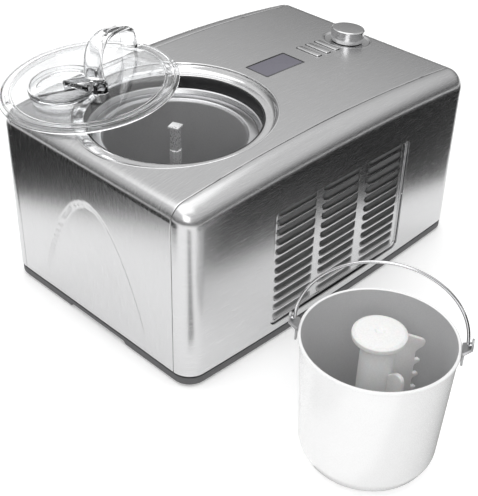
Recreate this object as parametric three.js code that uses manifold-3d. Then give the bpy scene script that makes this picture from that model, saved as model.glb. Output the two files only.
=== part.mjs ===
// Countertop ice cream maker with its own compressor, as it stands ready for loading: the machine,
// its clear lid laid back on the top, and the bowl with its paddle on the table in front.
// Millimetres, +Z up. Each piece is modelled in the frame of its own assembly:
// the machine's origin is the middle of its footprint, the lid's is the middle of its flange,
// and the bowl's is the middle of its underside.
import * as THREE from 'three';
import { ConvexGeometry } from 'three/addons/geometries/ConvexGeometry.js';
import { mergeVertices } from 'three/addons/utils/BufferGeometryUtils.js';
import Module from 'manifold-3d';

const wasm = await Module();
wasm.setup();

// ---------------------------------------------------------------------------- driving dimensions

const GAP = 0.3; // air kept between pieces that touch on the real machine
const SHEET = 1.5; // wall of the steel casing, with its folded edges
const ROUND = 32; // sides of the large turned pieces

const BODY = {
  length: 425, // along X, over the two bent ends
  halfWidth: 140.7, // at the corners
  bow: 4.8, // how far each long side swells outwards in the middle
  height: 214.6, // middle of the top
  crown: 11.9, // how far the top falls towards each end
  bottom: 14.5, // lower edge of the casing
  verticalRadius: 20,
  edgeRadius: 22,
  endRadius: 15,
  seam: 119.2, // distance of each seam from the middle plane
};

const TRAY = { top: 14.2, under: 2.8, floor: 5.5, wall: 3 };
const FOOT = { radius: 11, x: 180, y: 108 };
const FINGER_RECESS = { from: -46, to: 43, height: 4.2 };

const WELL = { x: -97, mouth: 72, rimOuter: 104, rimInner: 90 };
const COIL = { radius: 77.1, tube: 2.1, turns: 3, pitch: 30, low: 74 };
const LEDGE = { height: 205, slope: 0.02, thickness: 1.5 };
const SHAFT = { top: 195, bottom: 9, radius: 6.4, neck: 9, head: 12, headHeight: 3, shoulder: 168 };

const GEARS = { module: 2, drive: 45, idler: 33, pinion: 12, low: 14, high: 22 };
const IDLER_X = WELL.x + (GEARS.module * (GEARS.drive + GEARS.idler)) / 2;
const MOTOR_X = IDLER_X + (GEARS.module * (GEARS.idler + GEARS.pinion)) / 2;

const GRILLE = { left: -102, right: 107, low: 22, high: 161, face: 142.6 };
const LOUVRES = { columns: [-67.5, -0.5, 69], width: 58, rows: 12, pitch: 11.4, first: 29.5, slot: 5 };
const REAR_GRILLE = { left: 58, right: 172, low: 40, high: 150, face: 141.5 };
const REAR_LOUVRES = { columns: [88, 142], width: 46, rows: 9, pitch: 11.4, first: 49, slot: 5 };

const WINDOW = { left: 20, right: 79, front: -15.4, back: 16.5 };
const BUTTONS = { xs: [104.7, 119.9, 135.1], y: 1, width: 7.6, length: 32, proud: 1.4 };
const KNOB = { x: 169.5, radius: 19, height: 14, dish: 28.6 };

const FAN = { x: 61, z: 78, radius: 33, blades: 5 };
const COMPRESSOR = { x: 150, y: 58, radius: 46 };

const LID = { x: -126, y: 99.5, z: 213.3, slopeX: 0.11, slopeY: -0.02, flange: 94.3, top: 90.2 };
const PORT = { x: -24, y: 9, radius: 37, moon: 29 };
const HANDLE = { near: [-8, -25], far: [75, 22], boss: 20, footing: 8 };

const BOWL = { x: -145.8, y: -306, height: 133.9, rim: 69.1, wallTop: 67.6, wallBottom: 62.2 };
const BAIL = { angle: -57.7, z: 140, halfWidth: 72.5, rise: 71, wire: 1.4 };
const PADDLE = { stem: 15.5, bore: 12.2, cap: 24, top: 141, mainAngle: -18, innerAngle: -93 };

// ---------------------------------------------------------------------------- materials

const finish = (color, roughness, metalness) => new THREE.MeshStandardMaterial({ color, roughness, metalness });
const STEEL = finish(0xb9babc, 0.32, 1);
const BRIGHT = finish(0xd2d3d5, 0.16, 1);
const ALUMINIUM = finish(0x9b9c9e, 0.45, 1);
const COPPER = finish(0xb87350, 0.35, 1);
const BLACK = finish(0x1a1a1b, 0.45, 0);
const DARK = finish(0x4b4b4d, 0.55, 0);
const GREY = finish(0xa9aaac, 0.5, 0);
const WHITE = finish(0xf0f0ee, 0.4, 0);
const RUBBER = finish(0x242425, 0.85, 0);
const CLEAR = finish(0xe8edf0, 0.05, 0);
const SMOKED = finish(0x6d6b76, 0.15, 0);
const BOARD = finish(0x2f5d43, 0.6, 0);
const FOAM = finish(0xdfd8bf, 0.9, 0);
const PAINTED = finish(0x202123, 0.4, 0);

// ---------------------------------------------------------------------------- geometry helpers

// A three.js geometry as a solid that can be joined and cut.
function solid(geometry) {
  const bare = new THREE.BufferGeometry();
  bare.setAttribute('position', geometry.getAttribute('position').clone());
  if (geometry.index) bare.setIndex(geometry.index.clone());
  const merged = mergeVertices(bare, 1e-4);
  const vertices = merged.getAttribute('position').array;
  const corners = merged.index.array;
  const kept = [];
  for (let i = 0; i < corners.length; i += 3) {
    const [a, b, c] = [corners[i], corners[i + 1], corners[i + 2]];
    if (a !== b && b !== c && c !== a) kept.push(a, b, c);
  }
  let volume = 0;
  const at = (i) => new THREE.Vector3().fromArray(vertices, 3 * i);
  for (let i = 0; i < kept.length; i += 3) {
    volume += at(kept[i]).dot(at(kept[i + 1]).cross(at(kept[i + 2])));
  }
  if (volume < 0) kept.reverse();
  return new wasm.Manifold(new wasm.Mesh({
    numProp: 3,
    vertProperties: Float32Array.from(vertices),
    triVerts: Uint32Array.from(kept),
  }));
}

function geometryOf(body) {
  const mesh = body.getMesh();
  const geometry = new THREE.BufferGeometry();
  geometry.setAttribute('position', new THREE.BufferAttribute(mesh.vertProperties, 3));
  geometry.setIndex(new THREE.BufferAttribute(mesh.triVerts, 1));
  geometry.computeVertexNormals();
  return geometry;
}

function node(name, body, material) {
  const mesh = new THREE.Mesh(geometryOf(body), material);
  mesh.name = name;
  return mesh;
}

const joined = (bodies) => bodies.reduce((all, next) => all.add(next));
const cutBy = (body, tools) => tools.reduce((rest, tool) => rest.subtract(tool), body);

function block(x0, x1, y0, y1, z0, z1) {
  const geometry = new THREE.BoxGeometry(x1 - x0, y1 - y0, z1 - z0);
  geometry.translate((x0 + x1) / 2, (y0 + y1) / 2, (z0 + z1) / 2);
  return solid(geometry);
}

// A turned piece about a vertical axis through (x, y); points are [radius, height].
function turned(points, sides = 32, x = 0, y = 0) {
  const geometry = new THREE.LatheGeometry(points.map(([r, z]) => new THREE.Vector2(r, z)), sides);
  geometry.rotateX(Math.PI / 2);
  geometry.translate(x, y, 0);
  return solid(geometry);
}

function disc(radius, z0, z1, sides = 32, x = 0, y = 0) {
  return turned([[0, z0], [radius, z0], [radius, z1], [0, z1]], sides, x, y);
}

function ring(inner, outer, z0, z1, sides = 32, x = 0, y = 0) {
  return turned([[inner, z0], [outer, z0], [outer, z1], [inner, z1], [inner, z0]], sides, x, y);
}

// An outline in plan, pushed up from z0 to z1.
function slab(points, z0, z1) {
  const shape = new THREE.Shape(points.map(([x, y]) => new THREE.Vector2(x, y)));
  const geometry = new THREE.ExtrudeGeometry(shape, { depth: z1 - z0, bevelEnabled: false });
  geometry.translate(0, 0, z0);
  return solid(geometry);
}

function ellipseOutline(halfX, halfY, sides = 20) {
  const outline = [];
  for (let i = 0; i < sides; i += 1) {
    const angle = (2 * Math.PI * i) / sides;
    outline.push([halfX * Math.cos(angle), halfY * Math.sin(angle)]);
  }
  return outline;
}

// A bar of constant section along a curve.
function swept(curve, halfWidth, halfThickness, sides, steps) {
  const section = new THREE.Shape(
    ellipseOutline(halfWidth, halfThickness, sides).map(([x, y]) => new THREE.Vector2(x, y)),
  );
  return solid(new THREE.ExtrudeGeometry(section, { steps, extrudePath: curve, curveSegments: 1 }));
}

function pipe(points, radius, steps) {
  const curve = new THREE.CatmullRomCurve3(points.map((p) => new THREE.Vector3(...p)), false, 'centripetal');
  return swept(curve, radius, radius, 6, steps);
}

// Turns a body about an axis through a point, then moves it there.
function placed(body, rotation, position) {
  const matrix = new THREE.Matrix4().makeRotationFromEuler(new THREE.Euler(...rotation));
  matrix.setPosition(...position);
  return body.transform(matrix.toArray());
}

// ---------------------------------------------------------------------------- casing form

const topAt = (x) => BODY.height - BODY.crown * ((2 * x) / BODY.length) ** 2;
const sideAt = (x) => BODY.halfWidth + BODY.bow * (1 - ((2 * x) / BODY.length) ** 2);
const slopeAt = (x) => (-8 * BODY.crown * x) / BODY.length ** 2;

// How far a round of this radius has drawn in, at a given distance from the end.
function drawIn(distance, radius) {
  if (distance >= radius) return 0;
  return radius - Math.sqrt(radius ** 2 - (radius - distance) ** 2);
}

// Stations along X: close together in the rounded ends, wide apart between them.
function stations(inset) {
  const end = BODY.length / 2 - inset;
  const steps = [0, 1, 3.5, 8, 14, BODY.verticalRadius];
  const left = steps.map((d) => d - end);
  return [...left, -150, -100, -50, 0, 50, 100, 150, ...left.map((x) => -x).reverse()];
}

// The casing's outer form moved inwards by inset: a crowned box with bowed sides and rounded edges.
function casing(inset, bottom) {
  const arc = 6;
  const rings = stations(inset).map((x) => {
    const depth = BODY.length / 2 - inset - Math.abs(x);
    const corner = drawIn(depth, BODY.verticalRadius - inset);
    const side = sideAt(x) - inset - corner;
    const top = topAt(x) - inset - drawIn(depth, BODY.endRadius - inset);
    const radius = Math.max(BODY.edgeRadius - inset - corner, 1);
    const points = [[-side, bottom]];
    for (let i = 0; i <= arc; i += 1) {
      const angle = (Math.PI / 2) * (i / arc);
      points.push([-side + radius - radius * Math.cos(angle), top - radius + radius * Math.sin(angle)]);
    }
    for (let i = arc; i >= 0; i -= 1) {
      const angle = (Math.PI / 2) * (i / arc);
      points.push([side - radius + radius * Math.cos(angle), top - radius + radius * Math.sin(angle)]);
    }
    points.push([side, bottom]);
    return points.map(([y, z]) => [x, y, z]);
  });
  return lofted(rings);
}

// Closed rings with equal numbers of points, joined one to the next and capped at both ends.
function lofted(rings) {
  const count = rings[0].length;
  const index = [];
  for (let r = 0; r + 1 < rings.length; r += 1) {
    for (let i = 0; i < count; i += 1) {
      const a = r * count + i;
      const b = r * count + ((i + 1) % count);
      index.push(a, b, b + count, a, b + count, a + count);
    }
  }
  const last = (rings.length - 1) * count;
  for (let i = 1; i + 1 < count; i += 1) {
    index.push(0, i + 1, i, last, last + i, last + i + 1);
  }
  const geometry = new THREE.BufferGeometry();
  geometry.setAttribute('position', new THREE.Float32BufferAttribute(rings.flat(2), 3));
  geometry.setIndex(index);
  return solid(geometry);
}

// The footprint in plan, moved inwards by inset.
function footprint(inset) {
  const front = stations(inset).map((x) => {
    const depth = BODY.length / 2 - inset - Math.abs(x);
    return [x, -(sideAt(x) - inset - drawIn(depth, BODY.verticalRadius - inset))];
  });
  const back = front.map(([x, y]) => [x, -y]).reverse();
  return [...front, ...back];
}

// ---------------------------------------------------------------------------- tray and feet

function baseTray() {
  const band = slab(footprint(0.8), TRAY.under, 11.6);
  const lip = slab(footprint(2.2), 11, TRAY.top);
  const inside = slab(footprint(TRAY.wall + 1), TRAY.floor, TRAY.top + 1);
  const left = -BODY.length / 2;
  const { from, to, height } = FINGER_RECESS;
  const tools = [inside, block(left - 1, left + 3.4, from, to, TRAY.under - 1, TRAY.under + height)];
  return cutBy(joined([band, lip]), tools);
}

function footPlaces() {
  const { x, y } = FOOT;
  return { front_left: [-x, -y], front_right: [x, -y], back_left: [-x, y], back_right: [x, y] };
}

function rubberFoot([x, y]) {
  const { radius } = FOOT;
  const low = TRAY.under - GAP;
  return turned([[0, 0], [radius - 1.5, 0], [radius, 1], [radius, low], [0, low]], 20, x, y);
}

// ---------------------------------------------------------------------------- casing pieces

function casingShell() {
  return casing(0, BODY.bottom).subtract(casing(SHEET, BODY.bottom - 5));
}

function windowFrame(inset) {
  const { left, right, front, back } = WINDOW;
  return [left + inset, right - inset, front + inset, back - inset];
}

function topCover(shell) {
  const wide = BODY.length;
  const sheet = shell.intersect(block(-wide, wide, -BODY.seam + GAP, BODY.seam - GAP, 0, 300));
  const tools = [disc(WELL.rimOuter + 0.4, 150, 300, ROUND, WELL.x)];
  tools.push(block(...windowFrame(-0.4), 190, 300));
  for (const x of BUTTONS.xs) {
    const halfWidth = BUTTONS.width / 2 + 0.5;
    const halfLength = BUTTONS.length / 2 + 0.5;
    tools.push(block(x - halfWidth, x + halfWidth, BUTTONS.y - halfLength, BUTTONS.y + halfLength, 190, 300));
  }
  tools.push(onTop(disc(KNOB.dish + 0.4, -20, 20, 28), KNOB.x, 0));
  return cutBy(sheet, tools);
}

// Stands a body on the crowned top, square to the surface at (x, y).
function onTop(body, x, y) {
  return placed(body, [0, -Math.atan(slopeAt(x)), 0], [x, y, topAt(x)]);
}

function roundedOutline(left, right, low, high, radius, corners = 5) {
  const outline = [];
  const centres = [[right - radius, high - radius], [left + radius, high - radius],
    [left + radius, low + radius], [right - radius, low + radius]];
  centres.forEach(([x, z], quarter) => {
    for (let i = 0; i <= corners; i += 1) {
      const angle = (Math.PI / 2) * (quarter + i / corners);
      outline.push([x + radius * Math.cos(angle), z + radius * Math.sin(angle)]);
    }
  });
  return outline;
}

// A flat outline in X and Z, pushed along Y from y0 to y1.
function upright(outline, y0, y1) {
  const body = slab(outline.map(([x, z]) => [x, -z]), y0, y1);
  return placed(body, [-Math.PI / 2, 0, 0], [0, 0, 0]);
}

function sideShell(shell, side, grille) {
  const wide = BODY.length;
  const half = side < 0
    ? block(-wide, wide, -wide, -BODY.seam - GAP, 0, 300)
    : block(-wide, wide, BODY.seam + GAP, wide, 0, 300);
  const { left, right, low, high } = grille;
  const opening = roundedOutline(left - 0.4, right + 0.4, low - 0.4, high + 0.4, 9);
  const [near, far] = side < 0 ? [-170, -110] : [110, 170];
  return shell.intersect(half).subtract(upright(opening, near, far));
}

// A vent panel: a flat plate with a raised rim and rows of slots, its outer face towards side.
function ventPanel(grille, louvres, side) {
  const { left, right, low, high, face } = grille;
  const between = (a, b) => [Math.min(side * a, side * b), Math.max(side * a, side * b)];
  const rim = upright(roundedOutline(left, right, low, high, 8.6), ...between(face - 1.6, face));
  const field = roundedOutline(left + 4, right - 4, low + 4, high - 4, 6);
  const tools = [upright(field, ...between(face - 0.6, face + 1))];
  for (const x of louvres.columns) {
    for (let row = 0; row < louvres.rows; row += 1) {
      const z = louvres.first + row * louvres.pitch;
      const [y0, y1] = between(face - 5, face + 5);
      const half = louvres.width / 2;
      tools.push(block(x - half, x + half, y0, y1, z - louvres.slot / 2, z + louvres.slot / 2));
    }
  }
  return cutBy(rim, tools);
}

// ---------------------------------------------------------------------------- freezing well

function rimRing() {
  const { rimOuter, rimInner } = WELL;
  const under = -LEDGE.thickness;
  const profile = [[rimOuter, under], [rimOuter, 20], [rimOuter - 1.5, 20], [rimOuter - 1.5, 0],
    [rimInner, 0], [rimInner, -4], [rimInner + 1.3, -4], [rimInner + 1.3, under], [rimOuter, under]];
  const stepped = placed(turned(profile, ROUND), [0, -Math.atan(LEDGE.slope), 0], [WELL.x, 0, LEDGE.height]);
  return stepped.intersect(casing(0, BODY.bottom));
}

function collarRing() {
  const body = ring(88.2, 89.6, 192.8, 200.8, ROUND, WELL.x);
  const notches = [40, 220].map((degrees) => {
    const slot = block(86, 92, -6, 6, 196, 202);
    return placed(slot, [0, 0, THREE.MathUtils.degToRad(degrees)], [WELL.x, 0, 0]);
  });
  return cutBy(body, notches);
}

function seatRing() {
  return turned([[84.2, 185.3], [89.6, 185.3], [89.6, 192.5], [86.5, 192.5], [84.2, 187.6], [84.2, 185.3]],
    ROUND, WELL.x);
}

function evaporatorCan() {
  const { mouth } = WELL;
  const profile = [[8.5, 54.4], [mouth - 5.4, 54.4], [mouth + 1.6, 61.4], [mouth + 1.6, 182.6],
    [mouth + 3.6, 184.8], [83.8, 184.8], [83.8, 187], [mouth + 2, 187], [mouth, 184.5],
    [mouth, 62], [mouth - 6, 56], [8.5, 56], [8.5, 54.4]];
  return turned(profile, ROUND, WELL.x);
}

class Coil extends THREE.Curve {
  getPoint(t) {
    const angle = 2 * Math.PI * COIL.turns * t;
    const z = COIL.low + COIL.turns * COIL.pitch * t;
    return new THREE.Vector3(WELL.x + COIL.radius * Math.cos(angle), COIL.radius * Math.sin(angle), z);
  }
}

function evaporatorCoil() {
  return swept(new Coil(), COIL.tube, COIL.tube, 6, COIL.turns * 22);
}

function insulationJacket() {
  const profile = [[14, 44], [97.5, 44], [97.5, 184.4], [80, 184.4], [80, 53.4], [14, 53.4], [14, 44]];
  return turned(profile, ROUND, WELL.x);
}

function cavityBracket() {
  const { x } = WELL;
  const plate = block(x - 60, x + 60, -80, 80, 41, 43.6);
  const legs = [-1, 1].map((side) => {
    const [y0, y1] = [side * 78.75 - 1.25, side * 78.75 + 1.25];
    return block(x - 40, x + 40, y0, y1, TRAY.floor + GAP, 42);
  });
  return joined([plate, ...legs]).subtract(disc(15, 30, 50, 24, x));
}

function shaftSeal() {
  return turned([[7.3, 56.3], [16, 56.3], [14, 59], [9, 61.5], [7.3, 61.5], [7.3, 56.3]], 24, WELL.x);
}

// ---------------------------------------------------------------------------- drive

// A spur gear with straight-flanked teeth; the middle of one tooth is at angle phase.
function gear(teeth, phase, bore, x) {
  const pitchRadius = (GEARS.module * teeth) / 2;
  const tip = pitchRadius + GEARS.module * 0.9;
  const root = pitchRadius - GEARS.module * 1.2;
  const step = (2 * Math.PI) / teeth;
  const outline = [];
  for (let i = 0; i < teeth; i += 1) {
    const middle = phase + i * step;
    for (const [radius, share] of [[root, -0.32], [tip, -0.1], [tip, 0.1], [root, 0.32]]) {
      const angle = middle + share * step;
      outline.push([radius * Math.cos(angle), radius * Math.sin(angle)]);
    }
  }
  const body = slab(outline, GEARS.low, GEARS.high).subtract(disc(bore, GEARS.low - 1, GEARS.high + 1, 24));
  return placed(body, [0, 0, 0], [x, 0, 0]);
}

function driveShaft() {
  const { top, bottom, radius, neck, head, headHeight, shoulder } = SHAFT;
  const round = disc(radius, bottom, shoulder, 24);
  const square = block(-neck / 2, neck / 2, -neck / 2, neck / 2, shoulder - 1, top - headHeight + 0.5);
  const tip = block(-head / 2, head / 2, -head / 2, head / 2, top - headHeight, top);
  return placed(joined([round, square, tip]), [0, 0, THREE.MathUtils.degToRad(20)], [WELL.x, 0, 0]);
}

function gearboxOutline(clearance) {
  const reach = (teeth) => (GEARS.module * (teeth + 2)) / 2 + clearance;
  return [[WELL.x, reach(GEARS.drive)], [IDLER_X, reach(GEARS.idler)], [MOTOR_X, reach(GEARS.pinion)]];
}

// A slab whose outline wraps round the given circles.
function wrapped(circles, z0, z1) {
  const points = [];
  for (const [x, radius] of circles) {
    for (let i = 0; i < 24; i += 1) {
      const angle = (2 * Math.PI * i) / 24;
      const [px, py] = [x + radius * Math.cos(angle), radius * Math.sin(angle)];
      points.push(new THREE.Vector3(px, py, z0), new THREE.Vector3(px, py, z1));
    }
  }
  return solid(new ConvexGeometry(points));
}

function gearboxCase() {
  const shell = wrapped(gearboxOutline(4), TRAY.floor + GAP, 29.6).subtract(wrapped(gearboxOutline(2), 8, 31));
  const boss = ring(10.6, 14, 7.5, 12, 24, WELL.x);
  return shell.add(boss);
}

function gearboxLid() {
  const holes = [disc(7.6, 20, 40, 24, WELL.x), disc(4, 20, 40, 16, IDLER_X), disc(5, 20, 40, 16, MOTOR_X)];
  return cutBy(wrapped(gearboxOutline(4), 29.9, 33), holes);
}

function motorPinion() {
  const pinion = gear(GEARS.pinion, Math.PI + Math.PI / GEARS.pinion, 2.5, 0);
  const shaft = disc(3, 10, 42, 16);
  return placed(pinion.add(shaft), [0, 0, 0], [MOTOR_X, 0, 0]);
}

function driveMotor() {
  const bore = 4.2;
  const profile = [[0, 45], [bore, 45], [bore, 33.4], [9, 33.4], [9, 37], [24, 37], [24, 112], [20, 116],
    [0, 116]];
  return turned(profile, 28, MOTOR_X);
}

// ---------------------------------------------------------------------------- cooling circuit

function compressorPot() {
  const { x, y, radius } = COMPRESSOR;
  const profile = [[0, 15], [radius, 15], [radius, 92], [radius * 0.88, 108], [radius * 0.55, 118], [0, 121]];
  const pot = turned(profile, 28, x, y);
  const plate = block(x - 54, x + 54, y - 40, y + 40, 13.6, 16.4);
  return pot.add(plate);
}

function compressorMountPlaces() {
  const { x, y } = COMPRESSOR;
  return { front_left: [x - 46, y - 33], front_right: [x + 46, y - 33], back_left: [x - 46, y + 33],
    back_right: [x + 46, y + 33] };
}

function compressorMount([x, y]) {
  const [low, high] = [TRAY.floor + GAP, 13.3];
  return turned([[0, low], [7, low], [5.4, (low + high) / 2], [7, high], [0, high]], 16, x, y);
}

// Fin pack with a ridge for every second fin and the header tubes at its ends.
function condenser() {
  const core = block(18, 104, -134, -117, 30, 150);
  const fins = [];
  for (let x = 24; x <= 98; x += 8) fins.push(block(x, x + 1.5, -134.6, -116, 32, 148));
  return joined([core, ...fins]);
}

function fanShroud() {
  const plate = block(20, 102, -115, -96, 36, 120);
  return plate.subtract(alongY(disc(FAN.radius + 2.5, -20, 20, 32), FAN.x, -105, FAN.z));
}

// Lays a body made about Z along Y, its middle at (x, y, z).
function alongY(body, x, y, z) {
  return placed(body, [-Math.PI / 2, 0, 0], [x, y, z]);
}

function condenserFan() {
  const pieces = [disc(10, -6, 6, 20), disc(2.5, -6, 20, 12)];
  for (let i = 0; i < FAN.blades; i += 1) {
    const blade = placed(block(6, FAN.radius, -9, 9, -0.8, 0.8), [0.5, 0, 0], [0, 0, 0]);
    pieces.push(placed(blade, [0, 0, (2 * Math.PI * i) / FAN.blades], [0, 0, 0]));
  }
  return alongY(joined(pieces), FAN.x, -105, FAN.z);
}

function fanMotor() {
  const profile = [[3.4, -10], [16, -10], [16, 12], [12, 15], [0, 15], [0, 6], [3.4, 6], [3.4, -10]];
  const bell = turned(profile, 24);
  const foot = block(-6, 6, 12, 72, -6, -3);
  return alongY(bell.add(foot), FAN.x, -84, FAN.z);
}

// The liquid line leaves the condenser and is brazed into the foot of the filter drier.
function liquidLine() {
  const line = [[104.4, -125, 40], [114, -124, 38], [112, -100, 26], [90, -40, 22], [72, 20, 22], [60, 60, 30],
    [60, 62, 46]];
  const drier = turned([[0, 44], [3, 44], [3, 48], [9, 53], [9, 95], [3, 100], [3, 104], [0, 104]], 16, 60, 62);
  return pipe(line, 2, 24).add(drier);
}

// ---------------------------------------------------------------------------- controls

function displayWindow() {
  const [left, right, front, back] = windowFrame(0);
  const [halfX, halfY] = [(right - left) / 2, (back - front) / 2];
  return onTop(block(-halfX, halfX, -halfY, halfY, -2.4, -0.5), (left + right) / 2, (front + back) / 2);
}

function displayModule() {
  const [left, right, front, back] = windowFrame(-3);
  return block(left, right, front, back, 201, 209.8);
}

function pushButton(x) {
  const { width, length, proud, y } = BUTTONS;
  const top = topAt(x) + proud;
  const cap = block(x - width / 2, x + width / 2, y - length / 2, y + length / 2, top - 6, top);
  const stem = block(x - 2.5, x + 2.5, y - 4, y + 4, 199, top - 5);
  return cap.add(stem);
}

function dialDish() {
  const rim = KNOB.dish;
  const profile = [[4.5, -3.4], [rim - 4, -3.4], [rim, -2.4], [rim, -0.2], [rim - 1.5, -0.2], [rim - 5, -1.6],
    [4.5, -1.6], [4.5, -3.4]];
  return onTop(turned(profile, 28), KNOB.x, 0);
}

function controlKnob() {
  const { radius, height, x } = KNOB;
  const profile = [[0, 3], [3.6, 3], [3.6, -0.9], [radius - 1, -0.9], [radius, 0.4], [radius, height - 1.4],
    [radius - 1.4, height], [0, height]];
  return onTop(turned(profile, 28), x, 0);
}

function knobEncoder() {
  const housing = block(-7, 7, -7, 7, -11, -4);
  const bush = disc(3, -5, 2.4, 16);
  return onTop(housing.add(bush), KNOB.x, 0);
}

function cordGland() {
  const under = -GAP - SHEET;
  const profile = [[0, -4], [9, -4], [9, under], [6.2, under], [6.2, 0.6], [10, 0.6], [9, 3.5], [6, 9], [3.5, 9],
    [3.5, 4], [0, 4]];
  return turned(profile, 18);
}

// ---------------------------------------------------------------------------- lid

function halfMoon(radius, z0, z1, turn) {
  const outline = [];
  for (let i = 0; i <= 12; i += 1) {
    const angle = THREE.MathUtils.degToRad(15 + (150 * i) / 12);
    outline.push([radius * Math.cos(angle), radius * Math.sin(angle)]);
  }
  return placed(slab(outline, z0, z1), [0, 0, THREE.MathUtils.degToRad(turn)], [PORT.x, PORT.y, 0]);
}

const HANDLE_TURN = Math.atan2(HANDLE.far[1] - HANDLE.near[1], HANDLE.far[0] - HANDLE.near[0]);

function handleBoss([x, y], halfLength, halfWidth, top) {
  const body = slab(ellipseOutline(halfLength, halfWidth, 20), 4, top);
  return placed(body, [0, 0, HANDLE_TURN], [x, y, 0]);
}

function lidShell() {
  const { flange, top } = LID;
  const profile = [[0, 2.9], [79.5, 2.9], [79.5, -1.4], [81.5, -1.4], [81.5, 2.9], [top - 1.6, 2.9],
    [top - 1.6, 1.4], [top - 0.4, 0], [flange, 0], [flange, 1.8], [top + 0.6, 2], [top, 4], [top - 0.8, 4.8], [0, 4.8]];
  const shell = turned(profile, 36);
  const portWall = ring(PORT.radius - 2.2, PORT.radius, 4, 10.6, 28, PORT.x, PORT.y);
  const bosses = [handleBoss(HANDLE.near, 6.5, 12, HANDLE.boss), handleBoss(HANDLE.far, 5, 9, HANDLE.footing)];
  const lugs = [150, -35].map((degrees) => {
    const lug = block(81, 86.5, -8, 8, -1.4, 0.6);
    return placed(lug, [0, 0, THREE.MathUtils.degToRad(degrees)], [0, 0, 0]);
  });
  const bore = disc(PORT.radius - 2.2, 4.9, 30, 28, PORT.x, PORT.y);
  return cutBy(joined([shell, portWall, ...bosses, ...lugs]), [bore, halfMoon(PORT.moon, 0, 8, 150)]);
}

// The band rises from the near boss, runs over in a long arch and turns down to the far boss.
// Each stop is [share of the way along, height].
const ARCH = [[0, 20.3], [0, 32], [0.06, 43], [0.2, 49.5], [0.4, 48.5], [0.62, 42.5], [0.84, 34], [0.97, 25], [1, 17],
  [1, 8.3]];

function handleArch() {
  const [[x0, y0], [x1, y1]] = [HANDLE.near, HANDLE.far];
  const stops = ARCH.map(([share, height]) => new THREE.Vector3(
    THREE.MathUtils.lerp(x0, x1, share),
    THREE.MathUtils.lerp(y0, y1, share),
    height,
  ));
  return new THREE.CatmullRomCurve3(stops, false, 'centripetal');
}

function lidHandle() {
  return swept(handleArch(), 9, 3.2, 8, 24).intersect(disc(120, 8.3, 80, 16))
    .subtract(handleBoss(HANDLE.near, 9, 17, HANDLE.boss + GAP));
}

function refillCap() {
  const disk = disc(PORT.radius - 2.7, 5.1, 7.2, 28, PORT.x, PORT.y);
  const walls = [0, 42].map((degrees) => {
    const wall = block(0, PORT.radius - 6, -1.1, 1.1, 6.5, 12.5);
    return placed(wall, [0, 0, THREE.MathUtils.degToRad(degrees - 75)], [PORT.x, PORT.y, 0]);
  });
  return joined([disk, ...walls]).subtract(halfMoon(PORT.moon, 0, 20, -30));
}

// ---------------------------------------------------------------------------- bowl and paddle

function bowlShell() {
  const { height, rim, wallTop, wallBottom } = BOWL;
  const wall = 1.5;
  const profile = [[9, 0], [wallBottom - 19, 0], [wallBottom - 6, 4.4], [wallBottom, 17],
    [wallTop, height - 4], [rim, height - 2.6], [rim, height - 0.8], [rim - 1.2, height],
    [wallTop - wall, height - 0.6], [wallBottom - wall, 17.6],
    [wallBottom - 7, 5.8], [wallBottom - 19.6, 1.6], [11.2, 1.6], [10.4, 104], [9, 104], [9, 0]];
  return turned(profile, ROUND);
}

// A flared tab that holds one end of the bail, at the given angle round the rim.
function bailLug(degrees) {
  const side = [[69.2, 124], [70.7, 124], [70.7, 134.4], [77.4, 138.4], [77.4, 146.5], [75.9, 146.5], [75.9, 139.3],
    [69.2, 135.3]];
  const strip = upright(side, -9, 9);
  const front = [[-9, 120], [9, 120], [9, 133], [4, 141], [4, 144.2], [2.2, 146.6], [-2.2, 146.6], [-4, 144.2],
    [-4, 141], [-9, 133]];
  const outline = placed(upright(front, -90, -60), [0, 0, Math.PI / 2], [0, 0, 0]);
  const tab = strip.intersect(outline).subtract(alongX(disc(1.9, -9, 9, 12), 76, 0, BAIL.z));
  return placed(tab, [0, 0, THREE.MathUtils.degToRad(degrees)], [0, 0, 0]);
}

function alongX(body, x, y, z) {
  return placed(body, [0, Math.PI / 2, 0], [x, y, z]);
}

class BailArch extends THREE.Curve {
  getPoint(t) {
    const angle = Math.PI * (1 - t);
    return new THREE.Vector3(BAIL.halfWidth * Math.cos(angle), 0, BAIL.z + BAIL.rise * Math.sin(angle));
  }
}

function bailWire() {
  const arch = swept(new BailArch(), BAIL.wire, BAIL.wire, 6, 30);
  const reach = BAIL.halfWidth + 2.8;
  const ends = [-reach, reach].map((x) => alongX(disc(BAIL.wire, -4.4, 4.4, 6), x, 0, BAIL.z));
  return placed(joined([arch, ...ends]), [0, 0, THREE.MathUtils.degToRad(BAIL.angle)], [0, 0, 0]);
}

// A flat blade standing on edge: outline in radius and height, turned to its angle round the stem.
function blade(outline, thickness, degrees) {
  const body = upright(outline, -thickness / 2, thickness / 2);
  return placed(body, [0, 0, THREE.MathUtils.degToRad(degrees)], [0, 0, 0]);
}

function roundedNose(x, z, radius, from, to) {
  const points = [];
  for (let i = 0; i <= 6; i += 1) {
    const angle = THREE.MathUtils.degToRad(from + ((to - from) * i) / 6);
    points.push([x + radius * Math.cos(angle), z + radius * Math.sin(angle)]);
  }
  return points;
}

function mainBlade() {
  const edge = 38;
  const outline = [[14, 6.5], [51, 6.5], [55, 11.5], [edge, 17]];
  for (let z = 26; z < 104; z += 14) {
    outline.push([edge, z - 2.6], [edge + 8.5, z - 1.8], [edge + 8.5, z + 1.8], [edge, z + 2.6]);
  }
  outline.push([edge, 105], ...roundedNose(edge + 7, 110.5, 5, -90, 60), [30, 126], [14, 132]);
  return blade(outline, 4, PADDLE.mainAngle);
}

function innerBlade() {
  return blade([[14, 6.5], [50, 6.5], [50, 10], [33, 22], ...roundedNose(27, 103, 6, 0, 120), [14, 102]], 4.5,
    PADDLE.innerAngle);
}

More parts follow.
